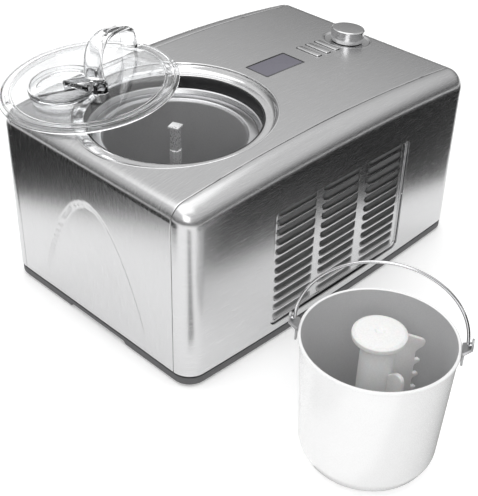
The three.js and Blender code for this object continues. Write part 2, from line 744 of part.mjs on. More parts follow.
function lowBlade() {
  return blade([[14, 6.5], [51, 6.5], [55, 12], [46, 30], ...roundedNose(34, 44, 5, 0, 120), [14, 52]], 4,
    PADDLE.mainAngle + 180);
}

function paddle() {
  const { stem, bore } = PADDLE;
  const tube = ring(bore, stem, 6, 133, 32);
  const blades = [mainBlade(), innerBlade(), lowBlade()];
  return joined([tube, ...blades]).subtract(disc(bore, 0, 140, 32));
}

function paddleCap() {
  const { cap, top } = PADDLE;
  const socket = block(-6.6, 6.6, -6.6, 6.6, 110, top - 5);
  const profile = [[0, 118], [11.4, 118], [11.4, 133.3], [cap - 1, 133.3], [cap, 134.6], [cap, top - 2.6],
    [cap - 2, top - 1], [6, top], [5, top - 0.8], [0, top - 1.2]];
  return turned(profile, 28).subtract(socket);
}

function paddleBush() {
  return ring(11.6, 15.5, 2, 5.6, 24);
}

// ---------------------------------------------------------------------------- assemblies

function machineCasing() {
  const group = new THREE.Group();
  const shell = casingShell();
  group.add(node('base_tray', baseTray(), DARK));
  for (const [place, at] of Object.entries(footPlaces())) {
    group.add(node(`foot_${place}`, rubberFoot(at), RUBBER));
  }
  group.add(node('top_cover', topCover(shell), STEEL));
  group.add(node('front_shell', sideShell(shell, -1, GRILLE), STEEL));
  const glandHole = alongY(disc(7, -30, 30, 24), 176, BODY.halfWidth, 34);
  group.add(node('back_shell', sideShell(shell, 1, REAR_GRILLE).subtract(glandHole), STEEL));
  group.add(node('front_grille', ventPanel(GRILLE, LOUVRES, -1), STEEL));
  group.add(node('rear_grille', ventPanel(REAR_GRILLE, REAR_LOUVRES, 1), STEEL));
  group.add(node('cord_gland', placed(cordGland(), [-Math.PI / 2, 0, 0], [176, sideAt(176) - 0.2, 34]), BLACK));
  return group;
}

function freezingWell() {
  const group = new THREE.Group();
  group.add(node('rim_ring', rimRing(), BRIGHT));
  group.add(node('collar_ring', collarRing(), BLACK));
  group.add(node('seat_ring', seatRing(), GREY));
  group.add(node('evaporator_can', evaporatorCan(), ALUMINIUM));
  group.add(node('evaporator_coil', evaporatorCoil(), COPPER));
  group.add(node('insulation_jacket', insulationJacket(), FOAM));
  group.add(node('cavity_bracket', cavityBracket(), STEEL));
  group.add(node('shaft_seal', shaftSeal(), RUBBER));
  group.add(node('shaft_bearing_upper', ring(6.9, 13.6, 44.6, 53, 24, WELL.x), COPPER));
  return group;
}

function driveTrain() {
  const group = new THREE.Group();
  const idlerPhase = Math.PI + Math.PI / GEARS.idler;
  group.add(node('drive_shaft', driveShaft(), BRIGHT));
  group.add(node('drive_gear', gear(GEARS.drive, 0, SHAFT.radius + 0.35, WELL.x), WHITE));
  group.add(node('idler_gear', gear(GEARS.idler, idlerPhase, 3.5, IDLER_X), WHITE));
  group.add(node('idler_pin', disc(3, 8.3, 31, 16, IDLER_X), STEEL));
  group.add(node('motor_pinion', motorPinion(), STEEL));
  group.add(node('shaft_bearing_lower', ring(6.9, 10.2, 8.3, 12, 24, WELL.x), COPPER));
  group.add(node('gearbox_case', gearboxCase(), BLACK));
  group.add(node('gearbox_lid', gearboxLid(), BLACK));
  group.add(node('drive_motor', driveMotor(), STEEL));
  return group;
}

function coolingCircuit() {
  const group = new THREE.Group();
  group.add(node('compressor', compressorPot(), PAINTED));
  for (const [place, at] of Object.entries(compressorMountPlaces())) {
    group.add(node(`compressor_mount_${place}`, compressorMount(at), RUBBER));
  }
  group.add(node('condenser', condenser(), ALUMINIUM));
  group.add(node('fan_shroud', fanShroud(), BLACK));
  group.add(node('condenser_fan', condenserFan(), BLACK));
  group.add(node('fan_motor', fanMotor(), BLACK));
  const discharge = [[150, 58, 121.4], [150, 58, 132], [143, 20, 146], [126, -60, 148], [118, -112, 142],
    [112, -125, 140], [104.4, -125, 140]];
  group.add(node('discharge_pipe', pipe(discharge, 2.5, 24), COPPER));
  group.add(node('liquid_line', liquidLine(), COPPER));
  const suction = [[-5.4, 41, 150], [4, 45, 151], [50, 62, 140], [86, 62, 104], [96, 59, 92], [103.3, 58, 90]];
  group.add(node('suction_pipe', pipe(suction, 3, 20), COPPER));
  return group;
}

function controls() {
  const group = new THREE.Group();
  group.add(node('display_window', displayWindow(), SMOKED));
  group.add(node('display_module', displayModule(), BLACK));
  BUTTONS.xs.forEach((x, i) => group.add(node(`button_${i + 1}`, pushButton(x), STEEL)));
  group.add(node('dial_dish', dialDish(), STEEL));
  group.add(node('control_knob', controlKnob(), STEEL));
  group.add(node('knob_encoder', knobEncoder(), BLACK));
  group.add(node('control_board', block(14, 148, -34, 34, 193.6, 195.2), BOARD));
  return group;
}

function lidAssembly() {
  const group = new THREE.Group();
  group.add(node('lid', lidShell(), CLEAR));
  group.add(node('lid_handle', lidHandle(), CLEAR));
  group.add(node('refill_cap', refillCap(), CLEAR));
  const normal = new THREE.Vector3(-LID.slopeX, -LID.slopeY, 1).normalize();
  group.quaternion.setFromUnitVectors(new THREE.Vector3(0, 0, 1), normal);
  group.position.set(LID.x, LID.y, LID.z);
  return group;
}

function bowlAssembly() {
  const group = new THREE.Group();
  group.add(node('bowl', bowlShell(), WHITE));
  group.add(node('bail_lug_front', bailLug(BAIL.angle), STEEL));
  group.add(node('bail_lug_back', bailLug(BAIL.angle + 180), STEEL));
  group.add(node('bail', bailWire(), BRIGHT));
  group.add(node('paddle_bush', paddleBush(), GREY));
  group.add(node('paddle', paddle(), WHITE));
  group.add(node('paddle_cap', paddleCap(), WHITE));
  group.position.set(BOWL.x, BOWL.y, 0);
  return group;
}

const set = new THREE.Group();
set.add(machineCasing(), freezingWell(), driveTrain(), coolingCircuit(), controls());
set.add(lidAssembly(), bowlAssembly());

// The whole set's origin is the middle of its footprint on the table.
const extent = new THREE.Box3().setFromObject(set, true);
const middle = extent.getCenter(new THREE.Vector3());
set.position.set(-middle.x, -middle.y, -extent.min.z);
set.updateMatrixWorld(true);

export default set;
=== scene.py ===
# %% [markdown]
# # A countertop ice cream maker
#
# The model is a brushed steel machine with a cooled well, its clear lid laid back on the top,
# and the bowl with its paddle standing in front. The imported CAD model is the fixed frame: it
# says where everything is and what moves. Blender only adds the looks, so every visible CAD
# node is replaced by a finer piece in the same place, or keeps its shape and gets a finish.

# %% Load the fixed frame
import math

import bmesh
import bpy
import numpy as np
from mathutils import Matrix, Vector


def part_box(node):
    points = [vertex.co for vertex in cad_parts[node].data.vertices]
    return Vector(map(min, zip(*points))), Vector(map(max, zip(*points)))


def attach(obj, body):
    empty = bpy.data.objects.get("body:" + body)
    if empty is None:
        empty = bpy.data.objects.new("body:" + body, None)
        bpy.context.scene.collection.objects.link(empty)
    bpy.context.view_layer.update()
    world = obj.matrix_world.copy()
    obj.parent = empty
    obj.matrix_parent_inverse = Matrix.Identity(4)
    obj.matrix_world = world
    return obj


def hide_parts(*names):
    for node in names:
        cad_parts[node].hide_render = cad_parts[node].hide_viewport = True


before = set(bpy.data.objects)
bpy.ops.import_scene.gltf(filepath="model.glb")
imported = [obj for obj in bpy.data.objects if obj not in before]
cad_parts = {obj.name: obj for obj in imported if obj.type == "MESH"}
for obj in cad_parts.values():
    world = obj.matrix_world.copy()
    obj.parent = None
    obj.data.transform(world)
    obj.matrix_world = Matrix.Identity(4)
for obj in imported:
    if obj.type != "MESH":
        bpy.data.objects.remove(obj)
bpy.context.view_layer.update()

# %% [markdown]
# ## Places and lengths
#
# A kitchen machine is drawn in millimetres, from the middle of its own footprint. Blender
# works in metres, in the frame of the whole set. The base tray is symmetrical, so the middle
# of its box is the machine's middle, and the middle of the bowl's box is the bowl's axis.
# Two small functions turn drawn points into places in the frame.

# %% Machine and bowl origins
MM = 0.001


def middle(node):
    low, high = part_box(node)
    return [(low[i] + high[i]) / 2 for i in range(3)]


MACHINE = np.array([middle("base_tray")[0], middle("base_tray")[1], 0.0])
BOWL_AXIS = (np.array([middle("bowl")[0], middle("bowl")[1], 0.0]) - MACHINE) / MM
print("bowl axis from the machine's middle, mm:", BOWL_AXIS.round(1))


def placed(points, move=(0, 0, 0), turn=0.0):
    """Turn points in mm about Z by some degrees, then move them."""
    c, s = math.cos(math.radians(turn)), math.sin(math.radians(turn))
    spun = np.asarray(points, float) @ np.array([[c, s, 0], [-s, c, 0], [0, 0, 1]])
    return spun + np.asarray(move, float)


# %% [markdown]
# ## From points to a piece
#
# All pieces here are meshes made from lists of points and faces. One function builds the mesh,
# welds points that coincide, turns the faces outwards and shades it smooth with crisp creases
# where two faces meet at a clear angle. A second one ties the finished piece to the frame:
# which body carries it and which CAD nodes it stands for.

# %% Build a mesh and settle it in the frame
def mesh_piece(name, points, faces, materials, crease=32, weld=True, outwards=True, face_material=None):
    mesh = bpy.data.meshes.new(name)
    mesh.from_pydata((np.asarray(points, float) * MM + MACHINE).tolist(), [], [list(f) for f in faces])
    for material in materials if isinstance(materials, (list, tuple)) else [materials]:
        mesh.materials.append(material)
    if face_material is not None:
        mesh.polygons.foreach_set("material_index", list(face_material))
    shape = bmesh.new()
    shape.from_mesh(mesh)
    if weld:
        bmesh.ops.remove_doubles(shape, verts=shape.verts, dist=2e-6)
    if outwards:
        bmesh.ops.recalc_face_normals(shape, faces=shape.faces)
    shape.to_mesh(mesh)
    shape.free()
    piece = bpy.data.objects.new(name, mesh)
    bpy.context.scene.collection.objects.link(piece)
    smooth(piece, crease)
    return piece


def smooth(piece, crease=32):
    piece.data.shade_smooth()
    piece.data.set_sharp_from_angle(angle=math.radians(crease))


def settle(piece, body, *stands_for, slot=None):
    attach(piece, body)
    if stands_for:
        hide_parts(*stands_for)
    print(f"{piece.name}: {len(piece.data.polygons)} faces, rides on {body}")
    return piece


def freeze(piece):
    """Replace a piece's mesh by what its modifiers make, and drop the modifiers."""
    graph = bpy.context.evaluated_depsgraph_get()
    graph.update()
    rough, fine = piece.data, bpy.data.meshes.new_from_object(piece.evaluated_get(graph))
    piece.modifiers.clear()
    piece.data = fine
    bpy.data.meshes.remove(rough)
    return piece


def combine(piece, tools, operation="DIFFERENCE", crease=32):
    """Cut the tools out of a piece, or join them to it, and remove the tools."""
    for tool in tools:
        step = piece.modifiers.new(tool.name, "BOOLEAN")
        step.object, step.operation, step.solver = tool, operation, "EXACT"
    freeze(piece)
    for tool in tools:
        bpy.data.objects.remove(tool)
    smooth(piece, crease)
    return piece


# %% [markdown]
# ## Three ways to make a shape
#
# Most parts of a machine are turned on a lathe, bent from bar, or stamped from plate. So three
# shape makers do nearly all the work: a profile spun about an axis, a section carried along a
# path, and a flat outline raised with rounded edges. Each gives points and faces. A corner in a
# profile is never left sharp: a small round catches the light as real edges do.

# %% Profiles with rounded corners
def rounded_profile(corners, radius=0.5, steps=4, closed=True):
    """Round each corner of a polyline; a corner may give its own radius as a third number."""
    points = [np.array(c[:2], float) for c in corners]
    out = []
    for i, corner in enumerate(points):
        own = corners[i][2] if len(corners[i]) > 2 else radius
        ends = not closed and i in (0, len(points) - 1)
        if own <= 0 or ends:
            out.append(corner)
            continue
        before, after = points[i - 1] - corner, points[(i + 1) % len(points)] - corner
        a, b = before / np.linalg.norm(before), after / np.linalg.norm(after)
        half = math.acos(max(-1.0, min(1.0, float(a @ b)))) / 2
        if half > math.radians(88):
            out.append(corner)
            continue
        reach = min(own / math.tan(half), 0.48 * np.linalg.norm(before), 0.48 * np.linalg.norm(after))
        for k in range(steps + 1):
            s = k / steps
            out.append(corner + a * reach * (1 - s) ** 2 + b * reach * s**2)
    return out


# %% A turned piece
def grid_faces(rows, columns, closed_rows=False, closed_columns=True):
    faces = []
    for r in range(rows if closed_rows else rows - 1):
        for c in range(columns if closed_columns else columns - 1):
            a, b = r * columns + c, r * columns + (c + 1) % columns
            d, e = ((r + 1) % rows) * columns + c, ((r + 1) % rows) * columns + (c + 1) % columns
            faces.append((a, b, e, d))
    return faces


def turned(profile, sides=96, closed=True):
    angles = np.arange(sides) * 2 * math.pi / sides
    points = [[r * math.cos(a), r * math.sin(a), z] for r, z in profile for a in angles]
    return np.array(points), grid_faces(len(profile), sides, closed_rows=closed)


# %% A section carried along a path
def swept(path, section, up=(0, 0, 1), widths=None, closed=False):
    """section is (sideways, upwards) points; widths scales them at each point of the path."""
    path, section = np.asarray(path, float), np.asarray(section, float)
    if closed:
        tangents = np.roll(path, -1, 0) - np.roll(path, 1, 0)
    else:
        tangents = np.gradient(path, axis=0)
    tangents /= np.linalg.norm(tangents, axis=1)[:, None]
    sideways = np.cross(np.asarray(up, float), tangents)
    sideways /= np.linalg.norm(sideways, axis=1)[:, None]
    upwards = np.cross(tangents, sideways)
    scale = np.ones((len(path), 2)) if widths is None else np.asarray(widths, float)
    points = [
        path[i] + sideways[i] * s * scale[i, 0] + upwards[i] * u * scale[i, 1]
        for i in range(len(path))
        for s, u in section
    ]
    count = len(section)
    faces = grid_faces(len(path), count, closed_rows=closed)
    if not closed:
        last = (len(path) - 1) * count
        faces += [tuple(range(count - 1, -1, -1)), tuple(last + i for i in range(count))]
    return np.array(points), faces


def circle(radius, sides=12):
    return [(radius * math.cos(2 * math.pi * i / sides), radius * math.sin(2 * math.pi * i / sides))
            for i in range(sides)]


# %% A flat outline raised with rounded edges
def inward(outline, distance):
    """Move a closed outline, drawn anticlockwise, inwards by a small distance."""
    outline = np.asarray(outline, float)
    before, after = outline - np.roll(outline, 1, 0), np.roll(outline, -1, 0) - outline
    a = before / np.linalg.norm(before, axis=1)[:, None]
    b = after / np.linalg.norm(after, axis=1)[:, None]
    bisector = np.stack([-(a + b)[:, 1], (a + b)[:, 0]], 1)
    bisector /= np.maximum(np.linalg.norm(bisector, axis=1), 1e-9)[:, None]
    cosine = np.clip((np.stack([-a[:, 1], a[:, 0]], 1) * bisector).sum(1), 0.5, 1)
    return outline + bisector * (distance / cosine)[:, None]


def raised(outline, low, high, top=0.8, bottom=0.3, steps=4):
    rings = []
    for k in range(steps + 1):
        angle = math.pi / 2 * k / steps
        rings.append((bottom * (1 - math.sin(angle)), low + bottom * (1 - math.cos(angle))))
    for k in range(steps + 1):
        angle = math.pi / 2 * k / steps
        rings.append((top * (1 - math.cos(angle)), high - top * (1 - math.sin(angle))))
    count, points = len(outline), []
    for inset, z in rings:
        points += [[x, y, z] for x, y in inward(outline, inset)]
    last = (len(rings) - 1) * count
    faces = grid_faces(len(rings), count)
    return np.array(points), faces + [tuple(range(count - 1, -1, -1)), tuple(last + i for i in range(count))]


def rounded_rectangle(left, right, low, high, radius, steps=6):
    centres = [(right - radius, high - radius), (left + radius, high - radius),
               (left + radius, low + radius), (right - radius, low + radius)]
    outline = []
    for quarter, (x, y) in enumerate(centres):
        for k in range(steps + 1):
            angle = math.pi / 2 * (quarter + k / steps)
            outline.append((x + radius * math.cos(angle), y + radius * math.sin(angle)))
    return outline


def on_edge(points, side=-1):
    """Stand a raised outline up: drawn X stays X, drawn Y becomes Z, its height goes out along Y."""
    p = np.asarray(points, float)
    return np.stack([p[:, 0], side * p[:, 2], p[:, 1]], 1)


# %% [markdown]
# ## Camera, floor and light
#
# The camera stands in front of the near left corner and looks down at about thirty-five
# degrees. Polished and brushed steel shows mostly its surroundings, so the light is arranged
# as in a small product studio: a pale sweep underneath, a bright overhead, and dark cards low
# down at the sides that only reflections see. They draw the soft dark bands on the steel. The
# sweep gives off a little light of its own, so it stays pale under lamps that suit the steel.

# %% Camera
def camera_axes(azimuth, elevation, roll):
    a, e, r = (math.radians(v) for v in (azimuth, elevation, roll))
    back = Vector((math.sin(a) * math.cos(e), -math.cos(a) * math.cos(e), math.sin(e)))
    right = Vector((0, 0, 1)).cross(back).normalized()
    up = back.cross(right)
    return right * math.cos(r) + up * math.sin(r), up * math.cos(r) - right * math.sin(r), back


camera = bpy.data.objects.new("camera", bpy.data.cameras.new("camera"))
bpy.context.scene.collection.objects.link(camera)
bpy.context.scene.camera = camera
cam_right, cam_up, cam_back = camera_axes(-46.25, 35.39, 1.55)
looked_at = Vector(MACHINE) + Vector((-105.2, -100.8, 100.0)) * MM
camera.location = looked_at + cam_back * 1.0292
camera.rotation_mode = "QUATERNION"
camera.rotation_quaternion = Matrix([[cam_right[i], cam_up[i], cam_back[i]] for i in range(3)]).to_quaternion()
camera.data.lens = 75.04
camera.data.sensor_width = 36.0
camera.data.clip_start, camera.data.clip_end = 0.01, 50
print("camera stands at", [round(v, 3) for v in camera.location])


# %% Sweep, cards and lamps
def plain_material(name, color, roughness):
    material = bpy.data.materials.new(name)
    material.use_nodes = True
    shader = material.node_tree.nodes["Principled BSDF"]
    shader.inputs["Base Color"].default_value = (*color, 1)
    shader.inputs["Roughness"].default_value = roughness
    return material


def studio_plane(name, corners, material, reflections_only=False):
    mesh = bpy.data.meshes.new(name)
    mesh.from_pydata([tuple(c) for c in corners], [], [tuple(range(len(corners)))])
    mesh.materials.append(material)
    plane = bpy.data.objects.new(name, mesh)
    bpy.context.scene.collection.objects.link(plane)
    if reflections_only:
        plane.visible_camera = plane.visible_diffuse = False
        plane.visible_shadow = plane.visible_transmission = False
    return plane


sweep_finish = plain_material("pale sweep", (0.95, 0.95, 0.95), 0.9)
sweep_shader = sweep_finish.node_tree.nodes["Principled BSDF"]
sweep_shader.inputs["Emission Color"].default_value = (1, 1, 1, 1)
sweep_shader.inputs["Emission Strength"].default_value = 0.22
card_finish = plain_material("black card", (0.004, 0.004, 0.004), 1.0)
studio_plane("floor", [(-6, -6, 0), (6, -6, 0), (6, 6, 0), (-6, 6, 0)], sweep_finish)


grey_card_finish = plain_material("grey card", (0.34, 0.34, 0.34), 1.0)


def card(name, corners, tone=card_finish):
    """A card, its corners in mm from the machine's middle."""
    return studio_plane(name, np.array(corners, float) * MM + MACHINE, tone, reflections_only=True)


card("card left", [(-470, -80, 3), (-322, 210, 3), (-240, 380, 3), (-240, 900, 3), (-1300, 900, 3), (-1300, -80, 3)])
card("card front", [(-215, -290, 3), (120, -256, 3), (300, -196, 3), (1500, -150, 3), (1500, -1500, 3),
                    (-215, -1500, 3)])
card("corner card", [(-252, -175, 3), (-226, -212, 3), (-500, -545, 3), (-580, -465, 3)], grey_card_finish)


def lamp(name, place, aim, size, power):
    data = bpy.data.lights.new(name, "AREA")
    data.shape, data.size, data.size_y, data.energy = "RECTANGLE", size[0], size[1], power
    light = bpy.data.objects.new(name, data)
    bpy.context.scene.collection.objects.link(light)
    light.location = place
    light.rotation_mode = "QUATERNION"
    light.rotation_quaternion = (Vector(place) - Vector(aim)).to_track_quat("Z", "Y")
    light.visible_camera = False
    return light


lamp("overhead", (-0.3, 0.1, 1.9), (0, 0, 0.1), (2.2, 2.2), 15)
lamp("front left", (-1.5, -1.3, 1.3), (-0.05, -0.05, 0.1), (1.1, 1.1), 8)
lamp("back right", (1.4, 1.5, 1.1), (0, 0.05, 0.15), (1.6, 0.9), 8.5).visible_glossy = False


# %% Surroundings
def surroundings(low, high):
    world = bpy.data.worlds.new("studio")
    bpy.context.scene.world = world
    world.use_nodes = True
    tree = world.node_tree
    backdrop = tree.nodes["Background"]
    coordinates = tree.nodes.new("ShaderNodeTexCoord")
    split = tree.nodes.new("ShaderNodeSeparateXYZ")
    ramp = tree.nodes.new("ShaderNodeValToRGB")
    ramp.color_ramp.elements[0].position, ramp.color_ramp.elements[0].color = 0.02, (low, low, low, 1)
    ramp.color_ramp.elements[1].position, ramp.color_ramp.elements[1].color = 0.55, (high, high, high, 1)
    path = tree.nodes.new("ShaderNodeLightPath")
    mix = tree.nodes.new("ShaderNodeMix")
    mix.data_type = "RGBA"
    mix.inputs["B"].default_value = (1, 1, 1, 1)
    tree.links.new(coordinates.outputs["Generated"], split.inputs[0])
    tree.links.new(split.outputs["Z"], ramp.inputs["Fac"])
    tree.links.new(path.outputs["Is Camera Ray"], mix.inputs["Factor"])
    tree.links.new(ramp.outputs["Color"], mix.inputs["A"])
    tree.links.new(mix.outputs["Result"], backdrop.inputs["Color"])
    backdrop.inputs["Strength"].default_value = 1.0


surroundings(0.05, 0.8)
bpy.context.scene.view_settings.view_transform = "Standard"

# %% [markdown]
# ## Shared effects for the finishes
#
# Three effects come back in most materials: the fine parallel lines that a brushing belt
# leaves, a slow unevenness with small specks that any handled surface has, and the brightening
# or dulling of exposed edges. Each is a node group with named inputs, built once. A group only
# gives values; the shader that uses them stays in the material.

# %% A small builder for node groups
def node_group(name, inputs, outputs):
    group = bpy.data.node_groups.new(name, "ShaderNodeTree")
    for label, kind, value in inputs:
        socket = group.interface.new_socket(label, in_out="INPUT", socket_type=kind)
        if value is not None:
            socket.default_value = value
    for label, kind in outputs:
        group.interface.new_socket(label, in_out="OUTPUT", socket_type=kind)
    return group, group.nodes.new("NodeGroupInput"), group.nodes.new("NodeGroupOutput")


def math_node(tree, operation, first, second=None):
    node = tree.nodes.new("ShaderNodeMath")
    node.operation = operation
    for socket, value in zip(node.inputs, (first, second)):
        if hasattr(value, "is_output"):
            tree.links.new(value, socket)
        elif value is not None:
            socket.default_value = value
    return node.outputs[0]


def noise(tree, vector, scale, detail=4.0, rough=0.55):
    node = tree.nodes.new("ShaderNodeTexNoise")
    node.inputs["Detail"].default_value, node.inputs["Roughness"].default_value = detail, rough
    if hasattr(scale, "is_output"):
        tree.links.new(scale, node.inputs["Scale"])
    else:
        node.inputs["Scale"].default_value = scale
    tree.links.new(vector, node.inputs["Vector"])
    return node.outputs["Fac"]


# %% Brushed lines
def brushed_lines_group():
    """Lines run along the first coordinate: slow along it, quick across it."""
    group, given, made = node_group(
        "brushed lines",
        [("Vector", "NodeSocketVector", None), ("Along", "NodeSocketFloat", 6.0),
         ("Across", "NodeSocketFloat", 900.0)],
        [("Lines", "NodeSocketFloat"), ("Bands", "NodeSocketFloat")],
    )
    stretch = group.nodes.new("ShaderNodeCombineXYZ")
    for i, label in enumerate(("Along", "Across", "Across")):
        group.links.new(given.outputs[label], stretch.inputs[i])
    scaled = group.nodes.new("ShaderNodeVectorMath")
    scaled.operation = "MULTIPLY"
    group.links.new(given.outputs["Vector"], scaled.inputs[0])
    group.links.new(stretch.outputs[0], scaled.inputs[1])
    fine = noise(group, scaled.outputs[0], 1.0, 5.0, 0.65)
    broad = noise(group, scaled.outputs[0], 0.13, 3.0, 0.5)
    group.links.new(fine, made.inputs["Lines"])
    group.links.new(broad, made.inputs["Bands"])
    return group


BRUSHED_LINES = brushed_lines_group()


# %% Handled surface
def handled_surface_group():
    group, given, made = node_group(
        "handled surface",
        [("Vector", "NodeSocketVector", None), ("Cloud Scale", "NodeSocketFloat", 14.0),
         ("Speck Scale", "NodeSocketFloat", 700.0)],
        [("Cloud", "NodeSocketFloat"), ("Specks", "NodeSocketFloat")],
    )
    cloud = noise(group, given.outputs["Vector"], given.outputs["Cloud Scale"], 5.0, 0.6)
    speck = noise(group, given.outputs["Vector"], given.outputs["Speck Scale"], 2.0, 0.5)
    group.links.new(cloud, made.inputs["Cloud"])
    group.links.new(speck, made.inputs["Specks"])
    return group


HANDLED_SURFACE = handled_surface_group()


# %% Edge wear
def edge_wear_group():
    """A mask that is high on outer edges and broken up by a fine noise."""
    group, given, made = node_group(
        "edge wear",
        [("Vector", "NodeSocketVector", None), ("Amount", "NodeSocketFloat", 0.5)],
        [("Mask", "NodeSocketFloat")],
    )
    geometry = group.nodes.new("ShaderNodeNewGeometry")
    edge = group.nodes.new("ShaderNodeMapRange")
    edge.inputs["From Min"].default_value, edge.inputs["From Max"].default_value = 0.51, 0.6
    group.links.new(geometry.outputs["Pointiness"], edge.inputs["Value"])
    broken = math_node(group, "MULTIPLY", edge.outputs[0], noise(group, given.outputs["Vector"], 260.0))
    group.links.new(math_node(group, "MULTIPLY", broken, given.outputs["Amount"]), made.inputs["Mask"])
    return group


EDGE_WEAR = edge_wear_group()
print("shared effects:", [g.name for g in (BRUSHED_LINES, HANDLED_SURFACE, EDGE_WEAR)])

# %% [markdown]
# ## One recipe for opaque finishes
#
# Steel, enamel, rubber and mouldings differ in colour, gloss and texture, but the same few
# steps make them all: mix a darker and a lighter tone by a pattern, let the same pattern vary
# the roughness, press a little of it into the surface, and touch the edges. The recipe takes
# those choices by name. Values that are the same all over are set on the shader itself.


# %% The recipe
def finish(name, dark, light, roughness, metallic=0.0, pattern="moulded", bump=0.02, wear=0.3, coat=0.0,
           along=6.0, across=900.0, cloud=14.0, speck=700.0, grain_map=False, specular=0.5, anisotropy=0.0):
    material = bpy.data.materials.new(name)
    material.use_nodes = True
    tree = material.node_tree
    shader = tree.nodes["Principled BSDF"]
    shader.inputs["Metallic"].default_value = metallic
    shader.inputs["Coat Weight"].default_value = coat
    shader.inputs["Coat Roughness"].default_value = 0.08
    shader.inputs["Specular IOR Level"].default_value = specular
    shader.inputs["Anisotropic"].default_value = anisotropy
    coordinates = tree.nodes.new("ShaderNodeTexCoord").outputs["UV" if grain_map else "Object"]
    if pattern == "brushed":
        source = tree.nodes.new("ShaderNodeGroup")
        source.node_tree = BRUSHED_LINES
        source.inputs["Along"].default_value, source.inputs["Across"].default_value = along, across
        fine, slow = source.outputs["Lines"], source.outputs["Bands"]
    else:
        source = tree.nodes.new("ShaderNodeGroup")
        source.node_tree = HANDLED_SURFACE
        source.inputs["Cloud Scale"].default_value, source.inputs["Speck Scale"].default_value = cloud, speck
        fine, slow = source.outputs["Specks"], source.outputs["Cloud"]
    tree.links.new(coordinates, source.inputs["Vector"])
    share = 0.88 if pattern == "brushed" else 0.6
    tone = math_node(tree, "ADD", math_node(tree, "MULTIPLY", fine, share),
                     math_node(tree, "MULTIPLY", slow, 1 - share))
    blend = tree.nodes.new("ShaderNodeMix")
    blend.data_type = "RGBA"
    blend.inputs["A"].default_value, blend.inputs["B"].default_value = (*dark, 1), (*light, 1)
    spread = tree.nodes.new("ShaderNodeMapRange")
    spread.inputs["From Min"].default_value, spread.inputs["From Max"].default_value = 0.3, 0.7
    tree.links.new(tone, spread.inputs["Value"])
    tree.links.new(spread.outputs[0], blend.inputs["Factor"])
    edge = tree.nodes.new("ShaderNodeGroup")
    edge.node_tree = EDGE_WEAR
    edge.inputs["Amount"].default_value = wear
    tree.links.new(coordinates, edge.inputs["Vector"])
    worn = tree.nodes.new("ShaderNodeMix")
    worn.data_type = "RGBA"
    worn.inputs["B"].default_value = (*[min(1, c * 1.25 + 0.03) for c in light], 1)
    tree.links.new(edge.outputs["Mask"], worn.inputs["Factor"])
    tree.links.new(blend.outputs["Result"], worn.inputs["A"])
    tree.links.new(worn.outputs["Result"], shader.inputs["Base Color"])
    gloss = tree.nodes.new("ShaderNodeMapRange")
    gloss.inputs["From Min"].default_value, gloss.inputs["From Max"].default_value = 0.3, 0.7
    gloss.inputs["To Min"].default_value, gloss.inputs["To Max"].default_value = roughness
    tree.links.new(tone, gloss.inputs["Value"])
    tree.links.new(gloss.outputs[0], shader.inputs["Roughness"])
    press = tree.nodes.new("ShaderNodeBump")
    press.inputs["Strength"].default_value, press.inputs["Distance"].default_value = bump, 0.0004
    tree.links.new(fine, press.inputs["Height"])
    tree.links.new(press.outputs["Normal"], shader.inputs["Normal"])
    return material


# %% [markdown]
# ## The metals
#
# The casing is stainless sheet, brushed in one direction that follows each sheet over its
# bends, so its pattern reads a map laid along the sheet. The rolled lip of the well, the shaft
# and the wires are brighter. The dial is turned, with rings about its own axis.

# %% Steel, aluminium and copper
casing_steel = finish("casing steel", (0.55, 0.55, 0.555), (0.68, 0.68, 0.685), (0.22, 0.29), 1.0, "brushed",
                      bump=0.015, along=45.0, across=2400.0, grain_map=True, anisotropy=0.4, wear=0.2)
shaft_steel = finish("shaft steel", (0.74, 0.74, 0.745), (0.84, 0.84, 0.845), (0.24, 0.34), 0.7, cloud=30.0,
                     bump=0.01)
bright_steel = finish("bright steel", (0.66, 0.66, 0.665), (0.8, 0.8, 0.805), (0.08, 0.16), 1.0, cloud=30.0,
                      bump=0.01)
wire_steel = finish("drawn wire", (0.55, 0.55, 0.56), (0.76, 0.76, 0.77), (0.1, 0.2), 1.0, bump=0.02, speck=1200.0)
button_steel = finish("button steel", (0.55, 0.55, 0.555), (0.72, 0.72, 0.725), (0.18, 0.28), 1.0, "brushed",
                      along=30.0)
satin_aluminium = finish("satin aluminium", (0.6, 0.6, 0.61), (0.74, 0.74, 0.75), (0.26, 0.36), 1.0, bump=0.03)
# The louvre scoops are pressed from the casing's own sheet; this darker copy of its steel is painted shade on the
# slats that face down.
louvre_painted_shade = finish("louvre steel with painted shade", (0.27, 0.27, 0.273), (0.34, 0.34, 0.343), (0.25, 0.33), 1.0, "brushed",
                      bump=0.015, along=45.0, across=2400.0, wear=0.8)
# A darker copy of the well's aluminium for the can's wall below its rim: painted shade down in the cavity.
cavity_painted_shade = finish("cavity aluminium with painted shade", (0.42, 0.42, 0.425), (0.5, 0.5, 0.505), (0.4, 0.5), 0.4, bump=0.03, cloud=9.0)
galvanised = finish("galvanised sheet", (0.34, 0.35, 0.36), (0.5, 0.51, 0.52), (0.35, 0.5), 1.0, cloud=60.0)
fin_metal = finish("fin metal", (0.55, 0.55, 0.56), (0.7, 0.7, 0.71), (0.3, 0.4), 1.0, "brushed", along=40.0)
copper = finish("drawn copper", (0.45, 0.2, 0.11), (0.66, 0.34, 0.2), (0.22, 0.4), 1.0, cloud=40.0, wear=0.4)
bronze = finish("sintered bronze", (0.4, 0.25, 0.11), (0.56, 0.37, 0.18), (0.4, 0.55), 1.0, speck=1500.0, bump=0.06)


